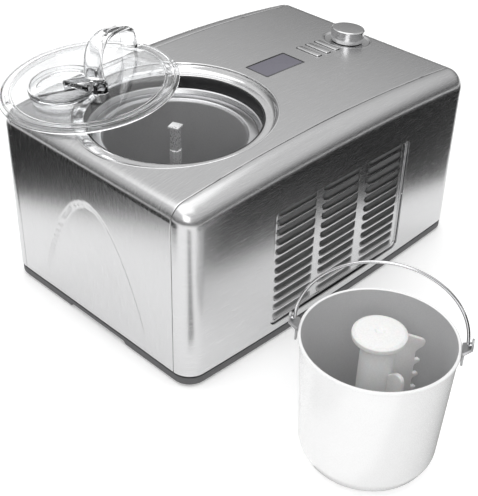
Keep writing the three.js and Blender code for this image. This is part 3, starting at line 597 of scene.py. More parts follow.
# %% Turned steel for the dial
def turned_steel(name, centre, axis):
    """Rings about an axis: the pattern depends only on the distance from it."""
    material = finish(name, (0.5, 0.5, 0.505), (0.74, 0.74, 0.745), (0.14, 0.26), 1.0, "brushed", along=300.0,
                      across=2600.0, bump=0.05)
    tree = material.node_tree
    source = next(n for n in tree.nodes if n.type == "GROUP" and n.node_tree == BRUSHED_LINES)
    place = tree.nodes.new("ShaderNodeTexCoord").outputs["Object"]
    offset = tree.nodes.new("ShaderNodeVectorMath")
    offset.operation = "SUBTRACT"
    offset.inputs[1].default_value = centre
    tree.links.new(place, offset.inputs[0])
    across = tree.nodes.new("ShaderNodeVectorMath")
    across.operation = "CROSS_PRODUCT"
    across.inputs[1].default_value = axis
    tree.links.new(offset.outputs[0], across.inputs[0])
    distance = tree.nodes.new("ShaderNodeVectorMath")
    distance.operation = "LENGTH"
    tree.links.new(across.outputs[0], distance.inputs[0])
    ring = tree.nodes.new("ShaderNodeCombineXYZ")
    tree.links.new(distance.outputs["Value"], ring.inputs[1])
    tree.links.new(ring.outputs[0], source.inputs["Vector"])
    return material


# %% [markdown]
# ## Mouldings, coats and rubber
#
# The plinth is a dark grey moulding with a fine spark texture. The bowl is enamelled white
# outside and lined with a grey release coat. The paddle is a satin white moulding that lets a
# little light in, so a touch of subsurface colour keeps its shadows soft.

# %% Plastics, coats and rubber
plinth_plastic = finish("plinth moulding", (0.075, 0.075, 0.078), (0.1, 0.1, 0.103), (0.5, 0.62), bump=0.12,
                        speck=1500.0)
black_plastic = finish("black moulding", (0.012, 0.012, 0.013), (0.022, 0.022, 0.023), (0.45, 0.58), bump=0.05,
                       wear=0.1)
grey_plastic = finish("grey moulding", (0.33, 0.33, 0.335), (0.42, 0.42, 0.425), (0.35, 0.45), bump=0.04)
white_plastic = finish("white moulding", (0.76, 0.76, 0.755), (0.86, 0.86, 0.855), (0.3, 0.4), bump=0.02, cloud=10.0)
white_enamel = finish("white enamel", (0.87, 0.87, 0.87), (0.89, 0.89, 0.89), (0.24, 0.3), coat=0.2, bump=0.0,
                      cloud=6.0, speck=2500.0)
bowl_lining = finish("bowl lining", (0.62, 0.62, 0.625), (0.69, 0.69, 0.695), (0.36, 0.46), metallic=0.25, bump=0.04)
rubber = finish("moulded rubber", (0.018, 0.018, 0.018), (0.035, 0.035, 0.035), (0.7, 0.85), bump=0.1, specular=0.3)
gear_plastic = finish("natural acetal", (0.68, 0.66, 0.6), (0.8, 0.78, 0.72), (0.3, 0.4))
foam = finish("rigid foam", (0.6, 0.53, 0.38), (0.74, 0.68, 0.53), (0.85, 0.95), speck=300.0, bump=0.3)
board = finish("lacquered board", (0.02, 0.1, 0.05), (0.03, 0.15, 0.08), (0.25, 0.35), coat=0.4, cloud=90.0)
black_enamel = finish("black enamel", (0.01, 0.01, 0.011), (0.02, 0.02, 0.022), (0.15, 0.25), coat=0.5)
white_plastic.node_tree.nodes["Principled BSDF"].inputs["Subsurface Weight"].default_value = 0.15
white_plastic.node_tree.nodes["Principled BSDF"].inputs["Subsurface Scale"].default_value = 0.004

# %% [markdown]
# ## Clear and smoked plastic
#
# The lid is a clear, hard moulding. Light goes through it, bends at its rims and comes back
# bright from its edges. It is full transmission with the refractive index of a clear styrene,
# faint fine scratches in its roughness, and a very slight grey. The display's window is a
# smoked pane over a pale grey field, and shows no figures while the machine is off.


# %% Clear moulding
def clear_moulding(name, tint, index=1.5):
    material = bpy.data.materials.new(name)
    material.use_nodes = True
    tree = material.node_tree
    shader = tree.nodes["Principled BSDF"]
    shader.inputs["Transmission Weight"].default_value = 1.0
    shader.inputs["IOR"].default_value = index
    place = tree.nodes.new("ShaderNodeTexCoord").outputs["Object"]
    wear = tree.nodes.new("ShaderNodeGroup")
    wear.node_tree = HANDLED_SURFACE
    wear.inputs["Cloud Scale"].default_value, wear.inputs["Speck Scale"].default_value = 35.0, 900.0
    tree.links.new(place, wear.inputs["Vector"])
    gloss = tree.nodes.new("ShaderNodeMapRange")
    gloss.inputs["To Min"].default_value, gloss.inputs["To Max"].default_value = 0.0, 0.05
    tree.links.new(wear.outputs["Cloud"], gloss.inputs["Value"])
    tree.links.new(gloss.outputs[0], shader.inputs["Roughness"])
    shade = tree.nodes.new("ShaderNodeMix")
    shade.data_type = "RGBA"
    shade.inputs["A"].default_value = (*tint, 1)
    shade.inputs["B"].default_value = (*[min(1.0, c * 1.03) for c in tint], 1)
    tree.links.new(wear.outputs["Cloud"], shade.inputs["Factor"])
    tree.links.new(shade.outputs["Result"], shader.inputs["Base Color"])
    return material


clear_plastic = clear_moulding("clear moulding", (0.88, 0.885, 0.89))
smoked_pane = finish("smoked pane", (0.145, 0.14, 0.17), (0.165, 0.16, 0.19), (0.4, 0.5), specular=0.25,
                     bump=0.0, cloud=20.0)
print("finishes:", len(bpy.data.materials))

# %% [markdown]
# ## The casing's form
#
# The casing is a long box with a crowned top and gently swelling sides. Its section is the same
# everywhere: up the side, round the edge, over the top and down again. Only its size changes
# along the length, and near each end it draws in on a quarter circle. So one grid of sections
# gives the whole skin. Flat end walls close it, drawn as a grid too, because a pattern is
# pressed into them.

# %% The form in numbers
LENGTH, HALF_WIDTH, BOW = 425.0, 140.7, 4.8
HEIGHT, CROWN, BOTTOM = 214.6, 11.9, 14.5
CORNER, EDGE, END_ROUND = 20.0, 22.0, 15.0
SEAM_COVER, SEAM_SHELL = 118.9, 119.5
WELL_X = -97.0


def top_at(x):
    return HEIGHT - CROWN * (2 * x / LENGTH) ** 2


def side_at(x):
    return HALF_WIDTH + BOW * (1 - (2 * x / LENGTH) ** 2)


def drawn_in(distance, radius):
    return 0.0 if distance >= radius else radius - math.sqrt(radius**2 - (radius - distance) ** 2)


def slope_at(x):
    return -8 * CROWN * x / LENGTH**2


# %% The skin as a grid of sections
def section(x, inset, low, risers=56, arc=12, across=104):
    depth = LENGTH / 2 - inset - abs(x)
    corner = drawn_in(depth, CORNER - inset)
    side = side_at(x) - inset - corner
    top = top_at(x) - inset - drawn_in(depth, END_ROUND - inset)
    radius = max(EDGE - inset - corner, 1.0)
    half = [(-side, low + (top - radius - low) * k / risers) for k in range(risers + 1)]
    for k in range(1, arc + 1):
        angle = math.pi / 2 * k / arc
        half.append((-side + radius - radius * math.cos(angle), top - radius + radius * math.sin(angle)))
    flat = [(y, top) for y in np.linspace(-side + radius, side - radius, across + 1)[1:-1]]
    return half, flat


def skin(inset=0.0, low=BOTTOM, across=104):
    end = LENGTH / 2 - inset
    near = [0, 0.15, 0.5, 1.1, 2, 3.2, 4.8, 6.8, 9.2, 12, 15, 18, CORNER, 22.5]
    left = [d - end for d in near]
    xs = left + list(np.linspace(left[-1], -left[-1], 98)[1:-1]) + [-x for x in reversed(left)]
    points, faces, count = [], [], 0
    for x in xs:
        half, flat = section(x, inset, low, across=across)
        ring = half + flat + [(-y, z) for y, z in reversed(half)]
        count = len(ring)
        points += [(x, y, z) for y, z in ring]
    faces += grid_faces(len(xs), count, closed_columns=False)
    for x in (xs[0], xs[-1]):
        half, _ = section(x, inset, low, across=across)
        start = len(points)
        for y, z in half:
            points += [(x, y + (-2 * y) * j / across, z) for j in range(across + 1)]
        faces += [tuple(start + i for i in face) for face in grid_faces(len(half), across + 1, closed_columns=False)]
    return np.array(points), faces


# %% [markdown]
# ## The pressed arches on the left end
#
# Two arches are pressed into the left end, one inside the other, and fade out towards their
# feet. The sheet inside an arch lies a little deeper, with a soft step between. Real depth is
# better than a bump here, because the step is lit differently along its length.


# %% Press the arches
def soft_step(value, width):
    t = np.clip(value / width + 0.5, 0, 1)
    return t * t * (3 - 2 * t)


def press_arches(points):
    p = points.copy()
    on_end = np.isclose(p[:, 0], -LENGTH / 2, atol=0.01)
    y, z = p[:, 1], p[:, 2]
    for peak, fall, depth, foot, width, reach in ((149, 0.0185, 2.5, 32, 3.4, 80), (95, 0.021, 0.6, 50, 5.0, 48)):
        inside = soft_step(peak - fall * y**2 - z, width)
        fade = soft_step(z - foot, 56) * soft_step(reach - np.abs(y), 24)
        p[:, 0] += on_end * inside * fade * depth
    return p


# %% [markdown]
# ## Three sheets from one skin
#
# The centre sheet covers the top and both ends; a front and a back shell wrap the long edges
# and corners. They come from the same skin, cut along the two seams, so their curves meet
# exactly. Each sheet gets a softened edge at its seam and then its thickness. A map laid along
# each sheet tells the brushed finish which way the lines run.


# %% Cut, soften and thicken a sheet
def lay_grain(mesh, shell):
    """Store where each corner lies along and across the brushing, in metres."""
    layer = mesh.uv_layers.get("grain") or mesh.uv_layers.new(name="grain")
    for loop in mesh.loops:
        p = (np.array(mesh.vertices[loop.vertex_index].co) - MACHINE) / MM
        if shell:
            over = min(max((p[2] - top_at(p[0]) + EDGE) / EDGE, 0), 1)
            across = p[2] - over * (abs(p[1]) - HALF_WIDTH)
            along = p[0] - math.copysign(1, p[0]) * (abs(p[1]) - HALF_WIDTH)
        else:
            across = p[1]
            along = p[0] + math.copysign(1, p[0]) * (HEIGHT - p[2])
        layer.data[loop.index].uv = (along * MM, across * MM)


def sheet(name, keep, thickness=1.4):
    points, faces = skin()
    piece = mesh_piece(name, press_arches(points), faces, casing_steel, crease=60)
    work = bmesh.new()
    work.from_mesh(piece.data)

    def cut(y, clear_above):
        place = Vector(MACHINE) + Vector((0, y * MM, 0))
        geometry = work.verts[:] + work.edges[:] + work.faces[:]
        bmesh.ops.bisect_plane(work, geom=geometry, plane_co=place, plane_no=(0, 1, 0), dist=1e-7,
                               clear_outer=clear_above is True, clear_inner=clear_above is False)

    seam = SEAM_COVER if keep == "cover" else SEAM_SHELL
    sides = (-1, 1) if keep == "cover" else ((-1,) if keep == "front" else (1,))
    for side in sides:
        outwards_is_clear = keep == "cover"
        cut(side * seam, (side > 0) == outwards_is_clear)
        for step in (0.45, 1.1):
            cut(side * (seam - step if keep == "cover" else seam + step), None)
    work.normal_update()
    moved = {}
    for vert in work.verts:
        y = abs((vert.co.y - MACHINE[1]) / MM)
        distance = abs(y - seam)
        if distance < 0.02:
            moved[vert] = 0.42
        elif distance < 0.5:
            moved[vert] = 0.1
    normals = {vert: vert.normal.copy() for vert in moved}
    for vert, drop in moved.items():
        vert.co -= normals[vert] * drop * MM
    work.to_mesh(piece.data)
    work.free()
    lay_grain(piece.data, keep != "cover")
    wall = piece.modifiers.new("wall", "SOLIDIFY")
    wall.thickness, wall.offset = thickness * MM, -1.0
    freeze(piece)
    smooth(piece, 50)
    return piece


# %% Tools for the holes
def tool(name, points, faces):
    return mesh_piece(name, points, faces, [], crease=30)


def disc_tool(name, x, y, radius, low, high, sides=128):
    points, faces = turned([(0, low), (radius, low), (radius, high), (0, high)], sides, closed=False)
    return tool(name, placed(points, (x, y, 0)), faces)


def box_tool(name, x0, x1, y0, y1, z0, z1, radius=0.8):
    points, faces = raised(rounded_rectangle(x0, x1, y0, y1, radius), z0, z1, 0.0, 0.0, 1)
    return tool(name, points, faces)


def laid_on_top(points, x, y=0.0):
    """Tip a shape drawn about the origin to the slope of the top and stand it there."""
    tip = math.atan(slope_at(x))
    c, s = math.cos(tip), math.sin(tip)
    p = np.asarray(points, float)
    turned_points = np.stack([p[:, 0] * c - p[:, 2] * s, p[:, 1], p[:, 0] * s + p[:, 2] * c], 1)
    return turned_points + np.array([x, y, top_at(x)])


# %% Centre sheet with its holes
WINDOW = (20.0, 79.0, -15.4, 16.5)
BUTTON_XS, BUTTON_WIDTH, BUTTON_LENGTH, BUTTON_Y = (104.7, 119.9, 135.1), 7.6, 32.0, 1.0
KNOB_X, KNOB_RADIUS, KNOB_HEIGHT, DISH_RADIUS = 169.5, 19.0, 14.0, 28.6

top_sheet = sheet("top_sheet", "cover")
holes = [disc_tool("well hole", WELL_X, 0, 103.2, 150, 300, 160)]
holes.append(box_tool("window hole", WINDOW[0] - 0.5, WINDOW[1] + 0.5, WINDOW[2] - 0.5, WINDOW[3] + 0.5, 190,
                      300, 1.5))
for number, x in enumerate(BUTTON_XS, 1):
    half, reach = BUTTON_WIDTH / 2 + 0.9, BUTTON_LENGTH / 2 + 0.9
    holes.append(box_tool(f"button hole {number}", x - half, x + half, BUTTON_Y - reach, BUTTON_Y + reach, 190,
                          300, 3.2))
dish_points, dish_faces = turned([(0, -20), (DISH_RADIUS, -20), (DISH_RADIUS, 20), (0, 20)], 96, closed=False)
holes.append(tool("dish hole", laid_on_top(dish_points, KNOB_X), dish_faces))
combine(top_sheet, holes, crease=40)
settle(top_sheet, "machine", "top_cover", slot="brushed_steel")

# %% [markdown]
# ## Side shells
#
# The two long shells carry the vent panels, so each has an opening for its panel, and the back
# one has a small round hole for the cord's gland.

# %% Front and back shells
FRONT_VENT = dict(left=-102.0, right=107.0, low=22.0, high=161.0, face=142.6)
REAR_VENT = dict(left=58.0, right=172.0, low=40.0, high=150.0, face=141.5)
GLAND = (176.0, 34.0)


def vent_hole(name, vent, side):
    outline = rounded_rectangle(vent["left"] - 0.3, vent["right"] + 0.3, vent["low"] - 0.3, vent["high"] + 0.3, 8.8)
    points, faces = raised(outline, 110, 170, 0.0, 0.0, 1)
    return tool(name, on_edge(points, side), faces)


front_sheet = sheet("front_sheet", "front")
combine(front_sheet, [vent_hole("front vent hole", FRONT_VENT, -1)], crease=40)
settle(front_sheet, "machine", "front_shell", slot="brushed_steel")

back_sheet = sheet("back_sheet", "back")
gland_points, gland_faces = turned([(0, 110), (7, 110), (7, 170), (0, 170)], 48, closed=False)
gland_points = np.stack([gland_points[:, 0] + GLAND[0], gland_points[:, 2], gland_points[:, 1] + GLAND[1]], 1)
combine(back_sheet, [vent_hole("rear vent hole", REAR_VENT, 1), tool("gland hole", gland_points, gland_faces)],
        crease=40)
settle(back_sheet, "machine", "back_shell", slot="brushed_steel")

# %% [markdown]
# ## Vent panels with pressed louvres
#
# Each vent panel is a thin plate with a raised, rounded rim. A louvre is a slit whose upper lip
# is pressed outwards, like a half-open mouth facing down, so air gets out and drips don't get
# in. One row of louvres is modelled, and Geometry Nodes repeat it up the panel at an
# even pitch. The plate's slits sit behind the mouths.


# %% A tree that repeats a row
def repeat_tree():
    """Stack copies of the given geometry along a step."""
    tree = bpy.data.node_groups.new("repeat rows", "GeometryNodeTree")
    tree.interface.new_socket("Geometry", in_out="INPUT", socket_type="NodeSocketGeometry")
    rows = tree.interface.new_socket("Rows", in_out="INPUT", socket_type="NodeSocketInt")
    rows.default_value = 12
    step = tree.interface.new_socket("Step", in_out="INPUT", socket_type="NodeSocketVector")
    finish_socket = tree.interface.new_socket("Finish", in_out="INPUT", socket_type="NodeSocketMaterial")
    tree.interface.new_socket("Geometry", in_out="OUTPUT", socket_type="NodeSocketGeometry")
    given, made = tree.nodes.new("NodeGroupInput"), tree.nodes.new("NodeGroupOutput")
    line = tree.nodes.new("GeometryNodeMeshLine")
    place = tree.nodes.new("GeometryNodeInstanceOnPoints")
    real = tree.nodes.new("GeometryNodeRealizeInstances")
    paint = tree.nodes.new("GeometryNodeSetMaterial")
    tree.links.new(given.outputs["Rows"], line.inputs["Count"])
    tree.links.new(given.outputs["Step"], line.inputs["Offset"])
    tree.links.new(line.outputs["Mesh"], place.inputs["Points"])
    tree.links.new(given.outputs["Geometry"], place.inputs["Instance"])
    tree.links.new(place.outputs["Instances"], real.inputs["Geometry"])
    tree.links.new(real.outputs["Geometry"], paint.inputs["Geometry"])
    tree.links.new(given.outputs["Finish"], paint.inputs["Material"])
    tree.links.new(paint.outputs["Geometry"], made.inputs["Geometry"])
    return tree, {"Rows": rows.identifier, "Step": step.identifier, "Finish": finish_socket.identifier}


REPEAT, REPEAT_INPUTS = repeat_tree()


def repeat(piece, rows, step, material, crease=32):
    nodes = piece.modifiers.new("repeat", "NODES")
    nodes.node_group = REPEAT
    for label, value in (("Rows", rows), ("Step", [v * MM for v in step]), ("Finish", material)):
        nodes[REPEAT_INPUTS[label]] = value
    freeze(piece)
    smooth(piece, crease)
    return piece


# %% One louvre
PITCH, SLOT = 11.4, 5.0


def louvre(x, z, width, face, side):
    """A scoop over a slit at height z: flush at its top, proud at its lower lip, closed at its ends."""
    columns, rows, proud, rise = 28, 7, 2.3, 7.6
    points = []
    for r in range(rows):
        t = r / (rows - 1)
        for c in range(columns + 1):
            s = 2 * c / columns - 1
            end = (1 - abs(s) ** 10) ** 0.5
            out = proud * math.sin(math.pi / 2 * t) ** 1.2 * end
            points.append((x + s * width / 2, side * (face + out - 0.05),
                           z + SLOT / 2 + 2.9 - rise * t * (0.55 + 0.45 * end)))
    faces = grid_faces(rows, columns + 1, closed_columns=False)
    return points, faces


def louvre_row(name, xs, z, width, face, side):
    points, faces = [], []
    for x in xs:
        more, mesh = louvre(x, z, width, face, side)
        faces += [tuple(i + len(points) for i in f) for f in mesh]
        points += more
    piece = mesh_piece(name, points, faces, casing_steel, crease=60)
    upward = sum(p.normal.y * p.area for p in piece.data.polygons)
    if upward * side < 0:
        piece.data.flip_normals()
    wall = piece.modifiers.new("wall", "SOLIDIFY")
    wall.thickness, wall.offset = 0.7 * MM, -1.0
    return freeze(piece)


# %% Panels: plate, rim and slits
def vent_plate(name, vent, xs, width, rows, first, side):
    left, right, low, high, face = (vent[k] for k in ("left", "right", "low", "high", "face"))
    points, faces = raised(rounded_rectangle(left, right, low, high, 8.6), face - 1.6, face, 0.9, 0.2, 4)
    plate = mesh_piece(name, on_edge(points, side), faces, casing_steel, crease=40)
    field, mesh = raised(rounded_rectangle(left + 3.4, right - 3.4, low + 3.4, high - 3.4, 6), face - 0.9,
                         face + 2, 0, 0.5, 3)
    tools = [tool("field", on_edge(field, side), mesh)]
    for x in xs:
        for row in range(rows):
            z = first + row * PITCH
            slit, mesh = raised(rounded_rectangle(x - width / 2 + 1, x + width / 2 - 1, z - SLOT / 2,
                                                  z + SLOT / 2, 2, 3),
                                face - 6, face + 6, 0, 0, 1)
            tools.append(tool("slit", on_edge(slit, side), mesh))
    slits = tools[1:]
    bpy.ops.object.select_all(action="DESELECT")
    for cutter in slits:
        cutter.select_set(True)
    bpy.context.view_layer.objects.active = slits[0]
    bpy.ops.object.join()
    return combine(plate, [tools[0], slits[0]], crease=40)


def vent(name, node, numbers, xs, width, rows, first, side):
    plate = vent_plate(name, numbers, xs, width, rows, first, side)
    lay_grain(plate.data, True)
    settle(plate, "machine", node, slot="brushed_steel")
    scoops = louvre_row(name + "_louvres", xs, first, width, numbers["face"] - 0.9, side)
    # The scoops get the darker steel: painted shade.
    repeat(scoops, rows, (0, 0, PITCH), louvre_painted_shade, crease=45)
    lay_grain(scoops.data, True)
    settle(scoops, "machine", slot="brushed_steel")


vent("front_vent", "front_grille", FRONT_VENT, (-67.5, -0.5, 69.0), 58.0, 12, 29.5, -1)
vent("rear_vent", "rear_grille", REAR_VENT, (88.0, 142.0), 46.0, 9, 49.0, 1)

# %% [markdown]
# ## Plinth, feet, screws and gland
#
# The machine stands on a dark moulded tray. The casing overlaps its lip and leaves a shadow
# line. Its left edge has a shallow finger recess for lifting. Four rubber feet are moulded with
# a soft round edge, and the tray is held by four screws, which Geometry Nodes stand on four
# points underneath.


# %% Plinth
def footprint(inset, steps=10):
    end = LENGTH / 2 - inset
    corner = [CORNER * (1 - math.cos(math.pi / 2 * k / steps)) for k in range(steps + 1)]
    xs = [-end + d for d in corner] + list(np.linspace(-end + CORNER, end - CORNER, 26)[1:-1]) + [end - d
                                                                                                  for d in reversed(corner)]
    front = []
    for x in xs:
        depth = end - abs(x)
        front.append((x, -(side_at(x) - inset - drawn_in(max(depth, 0.0), CORNER - inset))))
    return front + [(x, -y) for x, y in reversed(front)]


def stacked(levels):
    """A stack of footprints; levels are (inset, height), from inside bottom round to inside top."""
    rings = [footprint(inset) for inset, _ in levels]
    count = len(rings[0])
    points = [(x, y, z) for ring, (_, z) in zip(rings, levels) for x, y in ring]
    faces = grid_faces(len(levels), count)
    last = (len(levels) - 1) * count
    return points, faces + [tuple(range(count - 1, -1, -1)), tuple(last + i for i in range(count))]


def rolled(inset, z, radius, lower, steps=4):
    out = []
    for k in range(steps + 1):
        angle = math.pi / 2 * k / steps
        if lower:
            out.append((inset + radius * (1 - math.sin(angle)), z + radius * (1 - math.cos(angle))))
        else:
            out.append((inset + radius * (1 - math.cos(angle)), z - radius * (1 - math.sin(angle))))
    return out


levels = rolled(0.8, 2.8, 1.6, True) + rolled(0.8, 11.6, 0.7, False) + [(2.6, 11.6), (2.6, 14.2), (4.2, 14.2),
                                                                        (4.2, 5.5)]
tray_points, tray_faces = stacked(levels)
tray = mesh_piece("plinth", tray_points, tray_faces, plinth_plastic, crease=35)
recess_points, recess_faces = raised(rounded_rectangle(-46, 43, -6, 7.0, 3.6), 0, 5, 0, 0, 1)
recess_points = np.stack([recess_points[:, 2] - LENGTH / 2 - 1, recess_points[:, 0], recess_points[:, 1]], 1)
combine(tray, [tool("finger recess", recess_points, recess_faces)], crease=35)
settle(tray, "machine", "base_tray", slot="plinth_plastic")

# %% Feet
for place in ("front_left", "front_right", "back_left", "back_right"):
    low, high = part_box(f"foot_{place}")
    centre = ((Vector(low) + Vector(high)) / 2 - Vector(MACHINE)) / MM
    outline = rounded_profile([(0, 0, 0), (10.4, 0, 1.6), (11, 2.5, 0.3), (0, 2.5, 0)], closed=False)
    dimple = [(0, 0.35), (3.5, 0.3), (4.2, 0.0)] + [p for p in outline[1:]]
    points, faces = turned(dimple, 48, closed=False)
    foot = mesh_piece(f"rubber_foot_{place}", placed(points, (centre[0], centre[1], 0)), faces, rubber)
    settle(foot, "machine", f"foot_{place}", slot="rubber")


# %% Screws under the tray
def screw_tree():
    tree = bpy.data.node_groups.new("screws on points", "GeometryNodeTree")
    tree.interface.new_socket("Geometry", in_out="INPUT", socket_type="NodeSocketGeometry")
    radius = tree.interface.new_socket("Radius", in_out="INPUT", socket_type="NodeSocketFloat")
    steel = tree.interface.new_socket("Finish", in_out="INPUT", socket_type="NodeSocketMaterial")
    tree.interface.new_socket("Geometry", in_out="OUTPUT", socket_type="NodeSocketGeometry")
    given, made = tree.nodes.new("NodeGroupInput"), tree.nodes.new("NodeGroupOutput")
    head = tree.nodes.new("GeometryNodeMeshCone")
    head.inputs["Vertices"].default_value = 28
    head.inputs["Depth"].default_value = 0.0016
    tree.links.new(given.outputs["Radius"], head.inputs["Radius Bottom"])
    crown = tree.nodes.new("ShaderNodeMath")
    crown.operation = "MULTIPLY"
    crown.inputs[1].default_value = 0.72
    tree.links.new(given.outputs["Radius"], crown.inputs[0])
    tree.links.new(crown.outputs[0], head.inputs["Radius Top"])
    place = tree.nodes.new("GeometryNodeInstanceOnPoints")
    place.inputs["Rotation"].default_value = (math.pi, 0, 0.4)
    real, paint = tree.nodes.new("GeometryNodeRealizeInstances"), tree.nodes.new("GeometryNodeSetMaterial")
    tree.links.new(given.outputs["Geometry"], place.inputs["Points"])
    tree.links.new(head.outputs["Mesh"], place.inputs["Instance"])
    tree.links.new(place.outputs["Instances"], real.inputs["Geometry"])
    tree.links.new(real.outputs["Geometry"], paint.inputs["Geometry"])
    tree.links.new(given.outputs["Finish"], paint.inputs["Material"])
    tree.links.new(paint.outputs["Geometry"], made.inputs["Geometry"])
    return tree, radius.identifier, steel.identifier


screw_nodes, radius_input, finish_input = screw_tree()
spots = [(-150, -60, 2.6), (150, -60, 2.6), (-150, 60, 2.6), (150, 60, 2.6)]
screws = mesh_piece("tray_screws", spots, [], galvanised, weld=False, outwards=False)
stand = screws.modifiers.new("screws", "NODES")
stand.node_group = screw_nodes
stand[radius_input], stand[finish_input] = 3.4 * MM, galvanised
freeze(screws)
smooth(screws, 30)
settle(screws, "machine", slot="galvanised")

# %% Cord gland
ribs = [(0, -4, 0), (9, -4, 0.5), (9, -1.8, 0.3), (6.2, -1.8, 0.2), (6.2, 0.7, 0.2), (10, 0.7, 0.6),
        (9.2, 3.4, 0.8), (7.4, 3.8, 0.4),
        (7.2, 4.9, 0.3), (7.9, 5.2, 0.3), (7.4, 6.4, 0.3), (6.6, 6.7, 0.3), (6.3, 8.9, 0.6), (3.5, 8.9, 0.4),
        (3.5, 4, 0.2), (0, 4, 0)]
points, faces = turned(rounded_profile(ribs, closed=False), 48, closed=False)
spot = np.array([GLAND[0], side_at(GLAND[0]) - 0.4, GLAND[1]])
gland = mesh_piece("cord_gland_boot", np.stack([points[:, 0], points[:, 2], points[:, 1]], 1) + spot, faces,
                   black_plastic)
settle(gland, "machine", "cord_gland", slot="black_plastic")

# %% [markdown]
# ## The well
#
# Looking down into the machine: a bright rolled lip stands on the crowned top; inside it a
# curved wall drops to a flat ledge, where the lid's flange sits. The lip follows the crown but
# the ledge is nearly level, so the wall is taller on the right. Below the ledge come a collar
# coloured black as painted shade, a sloping grey seat, a bright step, and the cavity that the
# bowl stands in, its wall darkened as painted shade.


# %% Rim of the well
def ring_surface(name, rows_at, sides, material, crease=32, closed=True):
    """rows_at(angle) gives a profile of (radius, height) for each angle round the well."""
    angles = np.arange(sides) * 2 * math.pi / sides
    profiles = [rows_at(a) for a in angles]
    count = len(profiles[0])
    points = [(WELL_X + profiles[k][r][0] * math.cos(a), profiles[k][r][0] * math.sin(a), profiles[k][r][1])
              for r in range(count) for k, a in enumerate(angles)]
    return mesh_piece(name, points, grid_faces(count, sides, closed_rows=closed), material, crease)


def rim_profile(angle):
    lip = top_at(WELL_X + 103.6 * math.cos(angle))
    ledge = 205.0 + 0.02 * 94 * math.cos(angle)
    drop = max(lip - ledge, 0.6)
    outer = [(104.3, lip - 0.25), (104.2, lip + 0.3), (103.6, lip + 0.62), (102.9, lip + 0.5), (102.5, lip + 0.1)]
    wall = [(102.3 - 4.4 * t**1.8, lip - 0.2 - (drop - 0.2) * t**0.8) for t in np.linspace(0.12, 1, 9)]
    step = [(96.9, ledge - 0.05), (93, ledge), (90.8, ledge - 0.02), (90.25, ledge - 0.25), (90.0, ledge - 0.8),
            (90.0, ledge - 4)]
    under = [(91.2, ledge - 4), (91.4, ledge - 1.5), (99.5, ledge - 1.6), (102.2, min(lip - 1.6, ledge + drop - 1.6))]
    return outer + wall + step + under


rim = ring_surface("rolled_rim", rim_profile, 192, bright_steel, crease=50)
settle(rim, "machine", "rim_ring", slot="bright_steel")

# %% Collar, seat and cavity
def collar_profile(angle):
    top = 205.0 + 0.02 * 94 * math.cos(angle) - 0.75
    return [(88.5, 192.8), (89.6, 192.8), (89.75, 193.2), (89.75, top - 0.2), (89.5, top), (88.6, top),
            (88.2, top - 0.5), (88.2, 193.2)]


# The collar is coloured black: painted shade for the dark gap inside the ledge.
collar = ring_surface("collar_painted_shade", collar_profile, 160, black_plastic, crease=50)
settle(collar, "machine", "collar_ring", slot="black_plastic")

seat_corners = [(84.2, 185.3, 0.2), (89.6, 185.3, 0.2), (89.6, 192.5, 0.2), (87.6, 192.5, 0.8),
                (86.4, 191.6, 0.6), (84.4, 187.6, 0.6)]
points, faces = turned(rounded_profile(seat_corners), 160)
seat = mesh_piece("seat_step", placed(points, (WELL_X, 0, 0)), faces, satin_aluminium)
settle(seat, "machine", "seat_ring", slot="grey_plastic")

can_corners = [(8.5, 54.4, 0.2), (66.6, 54.4, 5), (73.6, 61.4, 5), (73.6, 182.6, 2), (75.6, 184.9, 1),
               (83.8, 184.9, 0.3),
               (83.8, 187.1, 0.4), (74.6, 187.1, 2.6), (72.0, 184.0, 2.2), (72.0, 62, 5), (66, 56, 5), (8.5, 56, 0.2)]
can_profile = rounded_profile(can_corners, steps=7)
points, faces = turned(can_profile, 160)
can = mesh_piece("cold_well", placed(points, (WELL_X, 0, 0)), faces, [satin_aluminium, cavity_painted_shade])
# Faces below the rim take the darker copy: painted shade in the cavity.
for polygon in can.data.polygons:
    centre = (np.array(polygon.center) - MACHINE) / MM
    polygon.material_index = 1 if centre[2] < 184.6 else 0
settle(can, "machine", "evaporator_can", slot="well_metal")

seal_corners = [(7.3, 56.3, 0.2), (16, 56.3, 0.5), (14, 59, 1), (9.2, 61.4, 0.7), (7.3, 61.4, 0.3)]
points, faces = turned(rounded_profile(seal_corners), 64)
seal = mesh_piece("lip_seal", placed(points, (WELL_X, 0, 0)), faces, rubber)
settle(seal, "machine", "shaft_seal", slot="rubber")

# %% [markdown]
# ## Drive shaft
#
# The paddle is turned by a steel shaft that stands in the middle of the well. It ends in a
# square head on a square neck. The round part under the shoulder carries a spline, so its
# section is a ring with eight shallow flutes.

# %% Fluted shaft with a square head
SHAFT_TURN = 20.0


def fluted(radius, depth, flutes, sides=96):
    angles = np.arange(sides) * 2 * math.pi / sides
    return [((radius - depth * (0.5 - 0.5 * math.cos(flutes * a)) ** 3) * math.cos(a),
             (radius - depth * (0.5 - 0.5 * math.cos(flutes * a)) ** 3) * math.sin(a)) for a in angles]


def bar(outline, low, high, top=0.4, bottom=0.2):
    points, faces = raised(outline, low, high, top, bottom, 3)
    return placed(points, (WELL_X, 0, 0), SHAFT_TURN), faces


spline = mesh_piece("splined_shaft", *bar(fluted(6.4, 0.9, 8), 9, 168, 0.7), shaft_steel, crease=35)
neck = tool("neck", *bar(rounded_rectangle(-4.5, 4.5, -4.5, 4.5, 1.2), 160, 192.6, 0.0, 0.0))
head = tool("head", *bar(rounded_rectangle(-6, 6, -6, 6, 1.0), 192.0, 195, 0.6, 0.4))
combine(spline, [neck, head], "UNION", crease=35)
spline.data.materials.clear()
spline.data.materials.append(shaft_steel)
settle(spline, "drive_shaft", "drive_shaft", slot="bright_steel")
